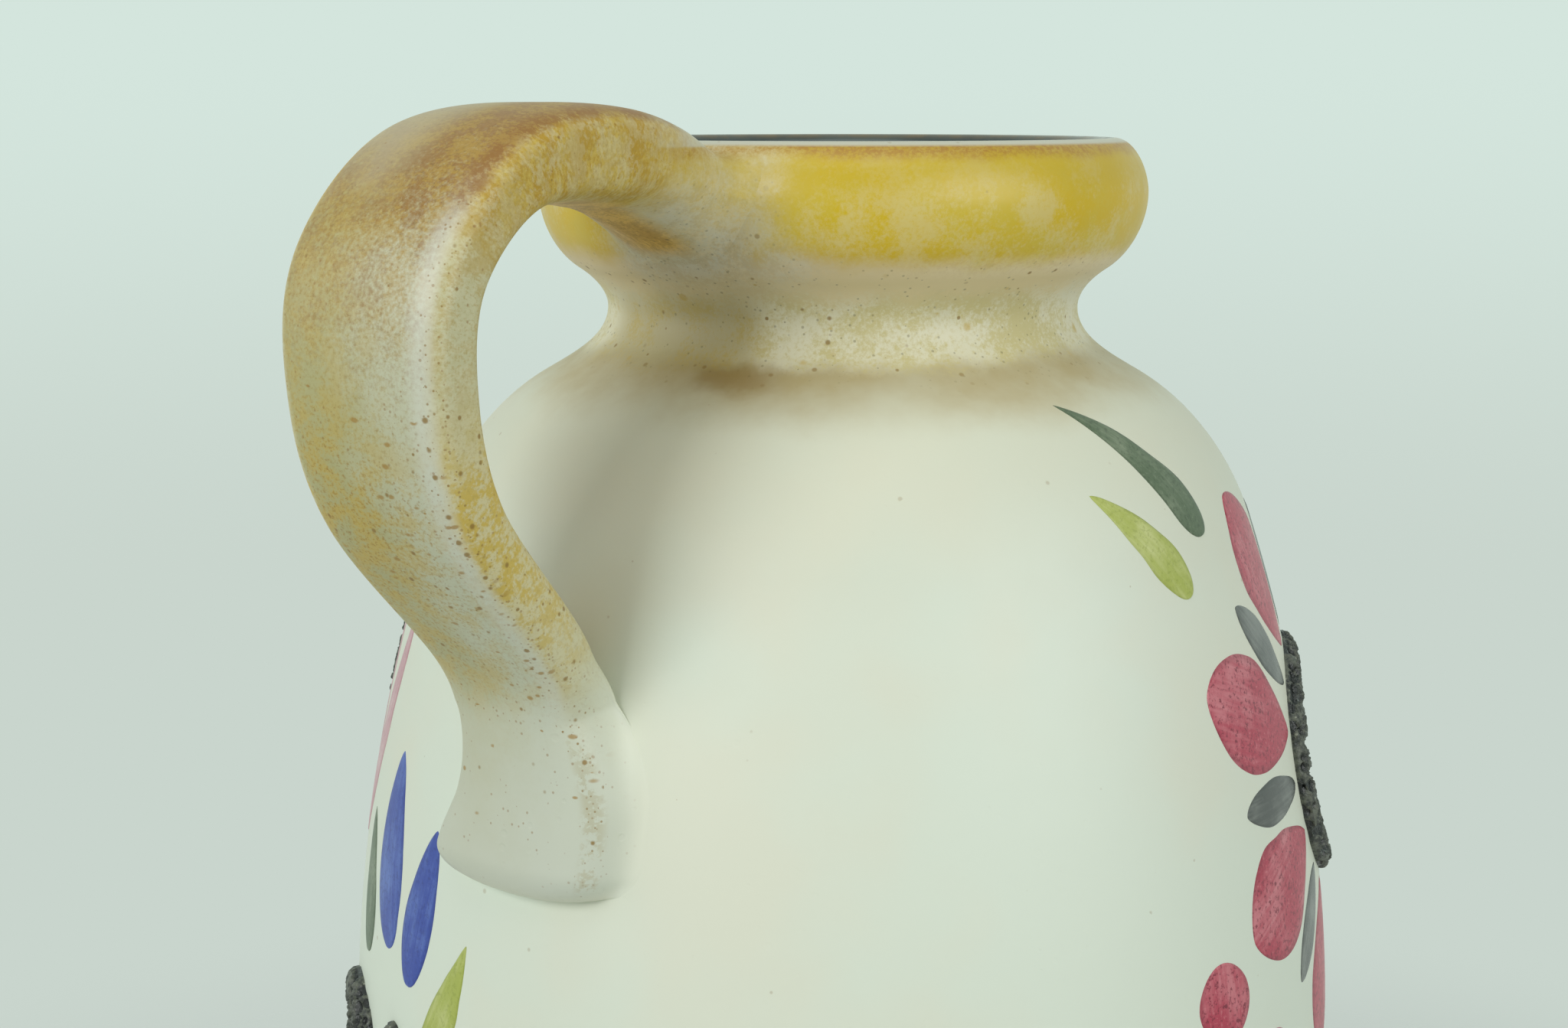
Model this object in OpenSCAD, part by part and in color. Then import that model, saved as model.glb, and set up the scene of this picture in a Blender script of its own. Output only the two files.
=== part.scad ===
// Handled ceramic vase: a cast body with a rolled rim, a strap handle luted on with slip,
// a poured inner glaze, trailed lava glaze standing proud of the wall, and brushed enamel flowers.
// Millimetres, +Z up, origin at the centre of the foot ring's standing face, handle towards -X.

/* [Body] */
// Height of the lip above the standing face
body_h = 300; // [280:1:330]
// Outer radius of the foot ring
foot_r = 64; // [58:0.5:72]
// Lean of the wall out from the vertical where it leaves the foot, in degrees
foot_lean = 28; // [20:1:32]
// Bevel on the outer edge of the foot ring
foot_bevel = 1.5; // [0.5:0.1:3]
// Width of the foot ring's standing face
foot_ring_w = 8; // [6:0.5:14]
// Depth of the hollow under the base
foot_recess = 2.5; // [1:0.1:4]
// Largest outer radius of the body
belly_r = 94; // [90:0.5:104]
// Height of the largest radius
belly_z = 128; // [115:1:140]
// Wall thickness of the casting with its inner glaze
wall = 6; // [4.5:0.1:8]
// Height of the glazed floor inside
floor_z = 9; // [7:0.5:14]
// Rounding between the floor and the wall inside
heel_r = 16; // [10:1:24]

/* [Shoulder, neck and rim] */
// Outer radius where the body starts to turn in to the shoulder
shoulder_r = 76.5; // [74:0.5:80]
// Drop from the lip to that place
shoulder_drop = 69; // [66:1:76]
// Outer radius on the steep ledge under the neck
ledge_r = 57; // [55:0.5:60]
// Drop from the lip to the ledge
ledge_drop = 44; // [42:0.5:47]
// Least outer radius of the neck
neck_r = 44; // [42:0.5:48]
// Drop from the lip to the least radius
neck_drop = 31; // [29:0.5:33]
// Outer radius on the flare under the rim
flare_r = 49.5; // [48.5:0.5:53]
// Drop from the lip to that place
flare_drop = 23.5; // [21.5:0.5:25]
// Largest outer radius of the rolled rim
rim_r = 56.5; // [54:0.5:62]
// Drop from the lip to the largest radius of the rim
rim_drop = 10; // [8:0.5:12]
// Radius of the lip's highest circle
lip_r = 50; // [47:0.5:52]
// Radius of the mouth just inside the lip
mouth_r = 46; // [42:0.5:47]
// Radius of the hollow inside the rolled rim
hollow_r = 49; // [46:0.5:50]
// Radius of the straight throat
throat_r = 38; // [34:0.5:38.5]
// Length of the straight throat
throat_len = 9; // [6:0.5:11]

/* [Handle] */
// Farthest distance of the strap's middle from the vase's axis
handle_reach = 119; // [112:1:135]
// Drop from the lip to the strap's highest middle point
handle_crest_drop = 2.5; // [1:0.5:8]
// Drop from the lip to the middle of the upper joint
upper_joint_drop = 12; // [10:0.5:14]
// Half height of the upper joint on the rim
upper_joint_half = 9; // [7:0.5:10]
// Height of the middle of the lower joint
lower_joint_z = 191; // [184:1:198]
// Half height of the lower joint on the body
lower_joint_half = 14.5; // [12:0.5:18]
// Width of the strap at the rim
strap_w_rim = 39; // [32:0.5:42]
// Width of the strap half way down
strap_w_mid = 35; // [26:0.5:40]
// Least width of the strap above its toe
strap_w_waist = 24.5; // [20:0.5:32]
// Width of the strap's toe
strap_w_toe = 43.5; // [34:0.5:46]
// Height of the strap's waist over the middle of the lower joint
waist_rise = 13; // [10:0.5:18]
// Distance of the strap's middle from the wall at the waist
waist_stand = 3.5; // [2.5:0.5:8]
// Height of the strap's knee over its waist
knee_rise = 15; // [12:0.5:18]
// Distance of the strap's middle at the knee from the wall at the waist
knee_stand = 7.5; // [6:0.5:12]
// Thickness of the strap at the rim
strap_t_rim = 15.5; // [13:0.5:18]
// Thickness of the strap half way down
strap_t_mid = 12.5; // [10:0.5:15]
// Thickness of the strap at its toe
strap_t_toe = 13; // [10:0.5:16]

/* [Glaze, lava and enamel] */
// Thickness of the poured inner glaze
glaze_t = 0.8; // [0.5:0.1:1.2]
// Thickness of the luting slip under each end of the handle
slip_t = 0.6; // [0.4:0.1:1.2]
// Width of a trailed lava bead
lava_w = 6.4; // [5:0.1:7]
// Height of a lava bead over the wall
lava_h = 2.4; // [1.5:0.1:3.5]
// Thickness of a brushed enamel stroke
enamel_t = 0.4; // [0.3:0.05:0.6]
// Clearance left between bonded layers
bond_gap = 0.15; // [0.12:0.01:0.3]

/* [Decoration] */
// Angle of the front spray's middle about the axis, in degrees
front_angle = 298; // [293:1:303]
// Height of the rosette's middle on the front spray
front_z = 186; // [180:1:192]
// Angle of the back spray's middle about the axis, in degrees
back_angle = 98; // [94:1:102]
// Height of the tulip's middle on the back spray
back_z = 178; // [172:1:184]
// Angle of the small sprig opposite the handle, in degrees
side_angle = 20; // [17:1:23]
// Height of the sprig's middle
side_z = 128; // [122:1:134]
// Middle radius of the rosette's lava ring
ring_r = 19; // [18:0.5:20]
// Length of a rosette petal
petal_len = 32; // [28:0.5:33]
// Width of a rosette petal
petal_w = 21; // [17:0.5:22]
// Length of a dark stroke between two petals
between_len = 24; // [18:0.5:27]
// Width of a dark stroke between two petals
between_w = 8; // [6:0.5:8.5]
// Gap of the rosette's strokes from its lava ring
ring_gap = 1.6; // [1:0.1:2.5]
// Gap of the rosette's heart from its lava ring
heart_gap = 1.2; // [0.6:0.1:3]
// Size of one step of the grid that the sprays' leaves, buds and trails are drawn on
grid_step = 1; // [0.97:0.01:1.01]
// Grid steps across the eye of a curl, from its middle to the bead
curl_eye = 5.5; // [5:0.1:6]

/* [Hidden] */
$fn = 96;
RAD = 180 / PI;
handle_angle = 180;
slip_seat = 2 * bond_gap + slip_t;

// Places on the outline, each [radius, height, heading in degrees], from the foot up to the lip
neck_z = body_h - neck_drop;
ledge_heading = 149;
shoulder_heading = 108.5;
flare_heading = 33;
outer_places = [
  [foot_r, foot_bevel, 90 - foot_lean],
  [belly_r, belly_z, 90],
  [shoulder_r, body_h - shoulder_drop, shoulder_heading],
  [ledge_r, body_h - ledge_drop, ledge_heading],
  [neck_r, neck_z, 90],
  [flare_r, body_h - flare_drop, flare_heading],
  [rim_r, body_h - rim_drop, 90],
  [lip_r, body_h, 180]
];

// The same for the glazed inside, from the lip down to the floor
function inside(place) =
  [place.x - wall * sin(place.z), place.y + wall * cos(place.z), place.z + 180];
mouth_drop = 4.5;
hollow_drop = 12;
heel_heading = 242;
heel_run = foot_r + (floor_z + heel_r) * tan(foot_lean) - wall - heel_r * 0.35;
inner_places = [
  [lip_r, body_h, 180],
  [mouth_r, body_h - mouth_drop, 270],
  [hollow_r, body_h - hollow_drop, 270],
  [throat_r, neck_z + throat_len / 2, 270],
  [throat_r, neck_z - throat_len / 2, 270],
  inside(outer_places[3]),
  inside(outer_places[2]),
  inside(outer_places[1]),
  [heel_run, floor_z + heel_r, heel_heading],
  [heel_run - heel_r * 1.6, floor_z, 180],
  [0, floor_z, 180]
];

// A smooth curve between two places, at t from 0 to 1
function direction(heading) = [cos(heading), sin(heading)];
function between(a, b, t) =
  let (p = [a.x, a.y], q = [b.x, b.y], d = norm(q - p))
  (2 * t ^ 3 - 3 * t ^ 2 + 1) * p + (t ^ 3 - 2 * t ^ 2 + t) * d * direction(a.z)
  + (3 * t ^ 2 - 2 * t ^ 3) * q + (t ^ 3 - t ^ 2) * d * direction(b.z);
function is_straight(a, b) = a.z == b.z && norm(cross([a.x - b.x, a.y - b.y, 0],
  concat(direction(a.z), 0))) < 0.001;
function outline(places, steps) = [
  for (i = [0 : len(places) - 2])
    let (n = is_straight(places[i], places[i + 1]) ? 1 : steps)
    for (k = [0 : n - 1]) between(places[i], places[i + 1], k / n),
  [places[len(places) - 1].x, places[len(places) - 1].y]
];

// An outline moved to the left of its own direction; a point on the axis stays on the axis
function moved_left(points, distance) = [
  for (i = [0 : len(points) - 1])
    let (
      d = points[min(i + 1, len(points) - 1)] - points[max(i - 1, 0)],
      side = [-d.y, d.x] / norm(d) * distance,
      end = i == 0 || points[i].x == 0
    )
    [points[i].x + (end ? 0 : side.x), points[i].y + (end ? -distance : side.y)]
];

profile_steps = 9;
outer_line = outline(outer_places, profile_steps);
inner_line = outline(inner_places, profile_steps);

// Outer radius of the body at a height, read off the outline
radius_table = [for (p = outer_line) [p.y, p.x]];
function body_r(z) = lookup(z, radius_table);

// A point over the body's surface. A spray is [angle, height] of its middle, p is
// [millimetres to the right, millimetres up] from there, and lift is the height over the wall.
function over_body(spray, p, lift) =
  let (z = spray.y + p.y, r = body_r(z), a = spray.x + p.x / r * RAD)
  [(r + lift) * cos(a), (r + lift) * sin(a), z];

// A closed skin of two grids of points, rows by columns, as one solid
function grid_faces(rows, cols, start, flip) = [
  for (i = [0 : rows - 2], k = [0 : cols - 2])
    let (a = start + i * cols + k, b = a + 1, c = a + cols, d = c + 1)
    each flip ? [[a, b, d], [a, d, c]] : [[a, d, b], [a, c, d]]
];
function rim_indices(rows, cols) = concat(
  [for (k = [0 : cols - 2]) k],
  [for (i = [0 : rows - 2]) i * cols + cols - 1],
  [for (k = [cols - 1 : -1 : 1]) (rows - 1) * cols + k],
  [for (i = [rows - 1 : -1 : 1]) i * cols]
);
module skin(bottom, top, rows, cols) {
  count = rows * cols;
  edge = rim_indices(rows, cols);
  n = len(edge);
  walls = [
    for (i = [0 : n - 1])
      let (a = edge[i], b = edge[(i + 1) % n])
      each [[a, b, b + count], [a, b + count, a + count]]
  ];
  polyhedron(
    concat(bottom, top),
    concat(grid_faces(rows, cols, 0, false), grid_faces(rows, cols, count, true), walls)
  );
}

// Brushed strokes. A stroke is [right, up, heading, length, width, bend, fullness, roundness]:
// it starts at the first two, sets off along the heading and turns through bend. Fullness
// under 1 puts the widest place nearer its start, and a smaller roundness gives blunter ends.
stroke_rows = 10;
stroke_end = 0.03;
stroke_cell = 5.5;
function stroke_middle(k, s) =
  let (turn = abs(k[5]) < 0.1 ? 0.1 : k[5], bow = k[3] / turn * RAD)
  [k[0] + bow * (sin(k[2] + turn * s) - sin(k[2])), k[1] - bow * (cos(k[2] + turn * s) - cos(k[2]))];
function stroke_half(k, s) = k[4] / 2 * sin(180 * s ^ k[6]) ^ k[7];
function stroke_grid(spray, k, lift, cols, inset) = [
  for (i = [0 : stroke_rows - 1])
    let (
      s = stroke_end + (1 - 2 * stroke_end) * i / (stroke_rows - 1),
      m = stroke_middle(k, s),
      h = k[2] + k[5] * s,
      half = max(stroke_half(k, s) - inset, 0.3)
    )
    for (c = [0 : cols - 1])
      let (v = 2 * c / (cols - 1) - 1)
      over_body(spray, m + half * v * [-sin(h), cos(h)], lift)
];
module stroke(spray, k, thickness) {
  cols = 2 + floor(k[4] / stroke_cell);
  skin(
    stroke_grid(spray, k, bond_gap, cols, 0),
    stroke_grid(spray, k, bond_gap + thickness, cols, thickness / 2),
    stroke_rows, cols
  );
}
module strokes(spray, list) {
  for (k = list) stroke(spray, k, enamel_t);
}

// A stroke of a list, from grid steps to its real size
function drawn(k) = [
  k[0] * grid_step, k[1] * grid_step, k[2], k[3] * grid_step, k[4] * grid_step, k[5], k[6], k[7]
];
module drawn_strokes(spray, list) {
  strokes(spray, [for (k = list) drawn(k)]);
}

// Trailed lava beads along a line of [right, up] points
bead_cols = 5;
bead_step = 4.6;
bead_edge = 0.35;
function smooth(a, b, c, d, t) =
  0.5 * (2 * b + (c - a) * t + (2 * a - 5 * b + 4 * c - d) * t ^ 2 + (3 * b - a - 3 * c + d) * t ^ 3);
function smooth_line(points, step) = [
  for (i = [0 : len(points) - 2])
    let (
      b = points[i], c = points[i + 1],
      a = i == 0 ? 2 * b - c : points[i - 1],
      d = i == len(points) - 2 ? 2 * c - b : points[i + 2],
      n = max(2, round(norm(c - b) / step))
    )
    for (k = [0 : n - 1]) smooth(a, b, c, d, k / n),
  points[len(points) - 1]
];
function arc_line(middle, r, from, to, step) =
  let (n = max(4, round(abs(to - from) / RAD * r / step)))
  [for (i = [0 : n]) middle + r * direction(from + (to - from) * i / n)];
// A curl that winds in round a middle, from radius big to radius small
function curl_line(middle, big, small, from, to, step) =
  let (n = max(8, round(abs(to - from) / RAD * (big + small) / 2 / step)))
  [for (i = [0 : n]) middle + (big + (small - big) * i / n) * direction(from + (to - from) * i / n)];
// The same from grid steps: a lead that runs on into a curl, and a plain line
function drawn_curl(lead, middle, big, from, to) = concat(
  smooth_line(grid_step * lead, bead_step),
  curl_line(grid_step * middle, grid_step * big, grid_step * curl_eye, from, to, bead_step)
);
function drawn_line(points) = smooth_line(grid_step * points, bead_step);
function bead_grid(spray, line, top) = [
  for (i = [0 : len(line) - 1])
    let (
      d = line[min(i + 1, len(line) - 1)] - line[max(i - 1, 0)],
      side = [-d.y, d.x] / norm(d),
      from_end = min(i, len(line) - 1 - i),
      full = from_end == 0 ? 0.55 : from_end == 1 ? 0.9 : 1
    )
    for (c = [0 : bead_cols - 1])
      let (
        v = 2 * c / (bead_cols - 1) - 1,
        dome = bead_edge + (lava_h - bead_edge) * sqrt(max(0, 1 - v ^ 2)) * full
      )
      over_body(spray, line[i] + side * v * lava_w / 2 * full, bond_gap + (top ? dome : 0))
];
module bead(spray, line) {
  skin(bead_grid(spray, line, false), bead_grid(spray, line, true), len(line), bead_cols);
}

// The three sprays
front = [front_angle, front_z];
back = [back_angle, back_z];
side = [side_angle, side_z];

// Front spray: a rosette on a stem with two curls
petal_count = 8;
petal_start = ring_r + lava_w / 2 + ring_gap;
ring_seam = 2;
heart_r = ring_r - lava_w / 2 - heart_gap;
front_stem = [[1, -62], [-5, -80], [-4, -100], [4, -122], [5, -148]];
front_left_curl = drawn_curl(
  [[-13, -103], [-26, -100], [-36, -96.5]],
  [-47, -76], 17.5, -75, -470
);
front_right_curl = drawn_curl(
  [[13, -131], [28, -125], [42, -113]],
  [36, -95], 17, -40, 345
);
front_green = [
  [-37, 47, 102, 24, 9, 14, 0.6, 0.7],
  [37, 47, 78, 24, 9, -14, 0.6, 0.7],
  [-13, -123, 196, 34, 11, -36, 0.62, 0.7],
  [11, -74, 10, 38, 11, -20, 0.62, 0.7],
  [-77, -86, 134, 30, 10, 20, 0.6, 0.7],
  [62, -82, 64, 34, 10, 20, 0.6, 0.7]
];
front_lime = [
  [-47, 38, 116, 22, 8, 16, 0.6, 0.7],
  [47, 38, 64, 22, 8, -16, 0.6, 0.7],
  [-12, -138, 206, 32, 10, -34, 0.62, 0.7],
  [-12, -68, 160, 18, 8, -20, 0.62, 0.7],
  [-71, -70, 100, 28, 9.5, 18, 0.6, 0.7],
  [66, -98, 34, 30, 9, 20, 0.6, 0.7]
];
front_berries = [
  [-62, -36, 90, 14, 14, 0, 1, 0.5],
  [-47, -51, 90, 13, 13, 0, 1, 0.5],
  [-63, -55, 90, 11, 11, 0, 1, 0.5],
  [62, -40, 90, 14, 14, 0, 1, 0.5],
  [49, -58, 90, 11, 11, 0, 1, 0.5],
  [79, -52, 90, 11, 11, 0, 1, 0.5]
];

// Back spray: a tulip in a cup of lava, a curled branch with a bud towards the handle, two curls
back_cup = [[-33, 30], [-32, 2], [-19, -20], [0, -28], [19, -20], [32, 2], [33, 30]];
back_stem = [[0, -40], [4, -62], [3, -86], [-4, -112], [-3, -140]];
back_branch = drawn_curl(
  [[12, -92], [40, -91], [66, -79], [83, -61]],
  [70, -49], 17.5, -22, 365
);
back_stalk = [[95, -72], [98, -52], [97, -32]];
back_left_curl = drawn_curl(
  [[-12, -75], [-26, -81], [-37, -83]],
  [-44, -65], 17.5, -86, -475
);
back_right_curl = drawn_curl(
  [[7, -126], [24, -132], [47, -131.5]],
  [51, -113], 18, -82, 295
);
back_blue = [
  [0, -21, 90, 66, 17, 0, 0.9, 0.65],
  [-11, -17, 119, 58, 14, -34, 0.8, 0.65],
  [11, -17, 61, 58, 14, 34, 0.8, 0.65],
  [92, -20, 114, 36, 12, -16, 0.75, 0.65],
  [101.5, -24, 88, 29, 10, 0, 0.75, 0.65]
];
back_rose = [
  [-42, -22, 106, 70, 13, -20, 0.7, 0.6],
  [42, -22, 74, 70, 13, 20, 0.7, 0.6],
  [-57, -8, 110, 46, 9, -18, 0.7, 0.6],
  [57, -8, 70, 46, 9, 18, 0.7, 0.6]
];
back_yellow = [
  [-10, 26, 96, 22, 7, 0, 0.8, 0.6],
  [10, 26, 84, 22, 7, 0, 0.8, 0.6],
  [-33, 37, 90, 13, 8, 0, 0.8, 0.6],
  [33, 37, 90, 13, 8, 0, 0.8, 0.6]
];
back_green = [
  [-11, -42, 172, 28, 9, -14, 0.62, 0.7],
  [13, -50, 350, 34, 10, 22, 0.62, 0.7],
  [108, -54, 30, 34, 10, 16, 0.6, 0.7],
  [79, -25, 104, 27, 9, 10, 0.62, 0.7],
  [-14, -126, 210, 32, 10, -30, 0.62, 0.7],
  [80, -92, 16, 34, 10, 24, 0.6, 0.7]
];
back_lime = [
  [-9, -96, 186, 34, 10, -26, 0.62, 0.7],
  [14, -66, 340, 30, 9, 24, 0.62, 0.7],
  [107, -68, 8, 30, 9, 18, 0.6, 0.7],
  [108, -38, 60, 28, 8, 20, 0.62, 0.7],
  [-66, -48, 112, 32, 9, 24, 0.6, 0.7],
  [78, -108, 0, 32, 9, 24, 0.6, 0.7]
];

// Side sprig: an upright stem with leaves and a bud
side_stem = [[0, 42], [3, 20], [-3, -8], [2, -38], [0, -78]];
side_blue = [
  [0, 50, 90, 36, 10, 0, 0.8, 0.65],
  [-8, 48, 120, 30, 9, -24, 0.8, 0.65],
  [8, 48, 60, 30, 9, 24, 0.8, 0.65]
];
side_green = [
  [-10, 26, 150, 28, 9, -28, 0.62, 0.7],
  [10, 6, 30, 28, 9, 28, 0.62, 0.7],
  [-11, -14, 152, 30, 9.5, -28, 0.62, 0.7],
  [10, -36, 28, 30, 9.5, 28, 0.62, 0.7],
  [-9, -58, 154, 30, 9.5, -28, 0.62, 0.7]
];
side_lime = [
  [11, 24, 34, 24, 8, 26, 0.62, 0.7],
  [-10, 4, 148, 24, 8, -26, 0.62, 0.7],
  [9, -16, 32, 26, 8, 26, 0.62, 0.7],
  [-9, -36, 150, 26, 8.5, -26, 0.62, 0.7],
  [10, -60, 28, 28, 9, 26, 0.62, 0.7]
];

// The strap handle: rings of points along a curve that leaves the rim and lands on the body
strap_rows = 40;
strap_cols = 22;
strap_square = 3.2;
rim_landing = 0.12;
toe_landing = 0.14;
upper_z = body_h - upper_joint_drop;
waist_z = lower_joint_z + waist_rise;
strap_top = body_h - handle_crest_drop;
strap_path = [
  [body_r(upper_z), upper_z],
  [rim_r + 12.5, strap_top + 0.5],
  [handle_reach - 19, strap_top - 1],
  [handle_reach - 3, strap_top - 14.5],
  [handle_reach, strap_top - 32],
  [handle_reach - 6, strap_top - 53],
  [body_r(waist_z) + knee_stand, waist_z + knee_rise],
  [body_r(waist_z) + waist_stand, waist_z],
  [body_r(lower_joint_z), lower_joint_z]
];
strap_widths = [
  [0, strap_w_rim], [0.4, strap_w_mid + 1], [0.62, strap_w_mid], [0.875, strap_w_waist], [1, strap_w_toe]
];
strap_thicks = [[0, strap_t_rim], [0.35, strap_t_mid], [0.75, strap_t_mid], [1, strap_t_toe]];
function rounded(x) = sign(x) * abs(x) ^ (2 / strap_square);
function eased(t) = let (u = min(1, max(0, t))) u * u * (3 - 2 * u);
function on_path(points, s) =
  let (
    n = len(points) - 1, i = min(n - 1, floor(s * n)), t = s * n - i, b = points[i], c = points[i + 1],
    a = i == 0 ? 2 * b - c : points[i - 1], d = i == n - 1 ? 2 * c - b : points[i + 2]
  )
  smooth(a, b, c, d, t);
function handle_point(across, rho, z) = [
  rho * cos(handle_angle) - across * sin(handle_angle),
  rho * sin(handle_angle) + across * cos(handle_angle), z
];
// A point that would lie in the wall, moved out to the luting slip
function clear_of_body(p) =
  let (r = norm([p.x, p.y]), least = body_r(p.z) + slip_seat, grow = max(1, least / r))
  [p.x * grow, p.y * grow, p.z];
function strap_ring(s) =
  let (
    m = on_path(strap_path, s),
    d = on_path(strap_path, min(1, s + 0.01)) - on_path(strap_path, max(0, s - 0.01)),
    out = [-d.y, d.x] / norm(d),
    to_rim = eased(1 - s / rim_landing),
    to_body = eased(1 - (1 - s) / toe_landing)
  )
  [
    for (k = [0 : strap_cols - 1])
      let (
        a = 360 * k / strap_cols,
        across = rounded(cos(a)) * lookup(s, strap_widths) / 2,
        rise = rounded(sin(a)),
        p = m + out * rise * lookup(s, strap_thicks) / 2,
        free = handle_point(across, p.x, p.y),
        rim = over_body([handle_angle, upper_z], [across, rise * upper_joint_half], slip_seat),
        toe = over_body([handle_angle, lower_joint_z], [across, -rise * lower_joint_half], slip_seat)
      )
      clear_of_body(free + to_rim * (rim - free) + to_body * (toe - free))
  ];
// The two landing faces are filled in by rings that shrink towards their middles
function landing_ring(z, half, width, share) = [
  for (k = [0 : strap_cols - 1])
    let (a = 360 * k / strap_cols, rise = z > neck_z ? 1 : -1)
    over_body([handle_angle, z],
      share * [rounded(cos(a)) * width / 2, rise * rounded(sin(a)) * half], slip_seat)
];

// Pieces

module body_casting() {
  color("ivory")
    rotate_extrude()
      polygon(concat(
        outer_line,
        moved_left(inner_line, glaze_t + bond_gap),
        [[0, foot_recess], [foot_r - foot_ring_w - foot_recess, foot_recess]],
        [[foot_r - foot_ring_w, 0], [foot_r - foot_bevel, 0]]
      ));
}

module inner_glaze() {
  under = moved_left(inner_line, glaze_t);
  color("darkslategray")
    rotate_extrude()
      polygon(concat(inner_line, [for (i = [len(under) - 1 : -1 : 0]) under[i]]));
}

module strap_handle() {
  rings = concat(
    [for (share = [0.35, 0.7]) landing_ring(upper_z, upper_joint_half, strap_w_rim, share)],
    [for (i = [0 : strap_rows - 1]) strap_ring(i / (strap_rows - 1))],
    [for (share = [0.7, 0.35]) landing_ring(lower_joint_z, lower_joint_half, strap_w_toe, share)]
  );
  rows = len(rings);
  middles = [over_body([handle_angle, upper_z], [0, 0], slip_seat),
    over_body([handle_angle, lower_joint_z], [0, 0], slip_seat)];
  last = rows * strap_cols;
  faces = concat(
    [for (i = [0 : rows - 2], k = [0 : strap_cols - 1])
      let (
        a = i * strap_cols + k, b = i * strap_cols + (k + 1) % strap_cols,
        c = a + strap_cols, d = b + strap_cols
      )
      each [[a, b, d], [a, d, c]]],
    [for (k = [0 : strap_cols - 1]) [last, (k + 1) % strap_cols, k]],
    [for (k = [0 : strap_cols - 1])
      [last + 1, (rows - 1) * strap_cols + k, (rows - 1) * strap_cols + (k + 1) % strap_cols]]
  );
  color("tan") polyhedron(concat([for (r = rings) each r], middles), faces);
}

// A pad of slip that fills the joint under one end of the strap
module slip_pad(z, half, width) {
  stroke([handle_angle, z], [0, -half, 90, 2 * half, width, 0, 1, 0.5], slip_t);
}

module upper_luting_slip() {
  color("wheat") slip_pad(upper_z, upper_joint_half, strap_w_rim);
}

module lower_luting_slip() {
  color("wheat") slip_pad(lower_joint_z, lower_joint_half, strap_w_toe);
}

module front_lava_ring() {
  color("black")
    bead(front, arc_line([0, 0], ring_r, 90 + ring_seam, 450 - ring_seam, bead_step));
}

module front_lava_stem() {
  color("black") bead(front, drawn_line(front_stem));
}

module front_lava_curls() {
  color("black") {
    bead(front, front_left_curl);
    bead(front, front_right_curl);
  }
}

// Petals and small strokes stand round the ring by turns
function ring_strokes(turn, start, length, width, fullness, roundness) = [
  for (i = [0 : petal_count - 1])
    let (a = 90 + 360 * (i + turn) / petal_count)
    [start * cos(a), start * sin(a), a, length, width, 0, fullness, roundness]
];

module front_crimson_petals() {
  color("crimson") strokes(front, ring_strokes(0.5, petal_start, petal_len, petal_w, 1.3, 0.6));
}

module front_charcoal_strokes() {
  color("dimgray") strokes(front, ring_strokes(0, petal_start, between_len, between_w, 1.1, 0.6));
}

module front_yellow_heart() {
  color("gold") strokes(front, [[0, -heart_r, 90, 2 * heart_r, 2 * heart_r, 0, 1, 0.5]]);
}

module front_green_leaves() {
  color("darkgreen") drawn_strokes(front, front_green);
}

module front_lime_leaves() {
  color("yellowgreen") drawn_strokes(front, front_lime);
}

module front_crimson_berries() {
  color("indianred") drawn_strokes(front, front_berries);
}

module back_lava_cup() {
  color("black") bead(back, drawn_line(back_cup));
}

module back_lava_stem() {
  color("black") bead(back, drawn_line(back_stem));
}

module back_lava_branch() {
  color("black") {
    bead(back, back_branch);
    bead(back, drawn_line(back_stalk));
  }
}

module back_lava_curls() {
  color("black") {
    bead(back, back_left_curl);
    bead(back, back_right_curl);
  }
}

module back_blue_petals() {
  color("royalblue") drawn_strokes(back, back_blue);
}

module back_rose_strokes() {
  color("palevioletred") drawn_strokes(back, back_rose);
}

module back_yellow_drops() {
  color("gold") drawn_strokes(back, back_yellow);
}

module back_green_leaves() {
  color("darkgreen") drawn_strokes(back, back_green);
}

module back_lime_leaves() {
  color("yellowgreen") drawn_strokes(back, back_lime);
}

module side_lava_stem() {
  color("black") bead(side, drawn_line(side_stem));
}

module side_blue_bud() {
  color("royalblue") drawn_strokes(side, side_blue);
}

module side_green_leaves() {
  color("darkgreen") drawn_strokes(side, side_green);
}

module side_lime_leaves() {
  color("yellowgreen") drawn_strokes(side, side_lime);
}

body_casting();
inner_glaze();
strap_handle();
upper_luting_slip();
lower_luting_slip();
front_lava_ring();
front_lava_stem();
front_lava_curls();
front_crimson_petals();
front_charcoal_strokes();
front_yellow_heart();
front_green_leaves();
front_lime_leaves();
front_crimson_berries();
back_lava_cup();
back_lava_stem();
back_lava_branch();
back_lava_curls();
back_blue_petals();
back_rose_strokes();
back_yellow_drops();
back_green_leaves();
back_lime_leaves();
side_lava_stem();
side_blue_bud();
side_green_leaves();
side_lime_leaves();
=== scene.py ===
import math

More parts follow.
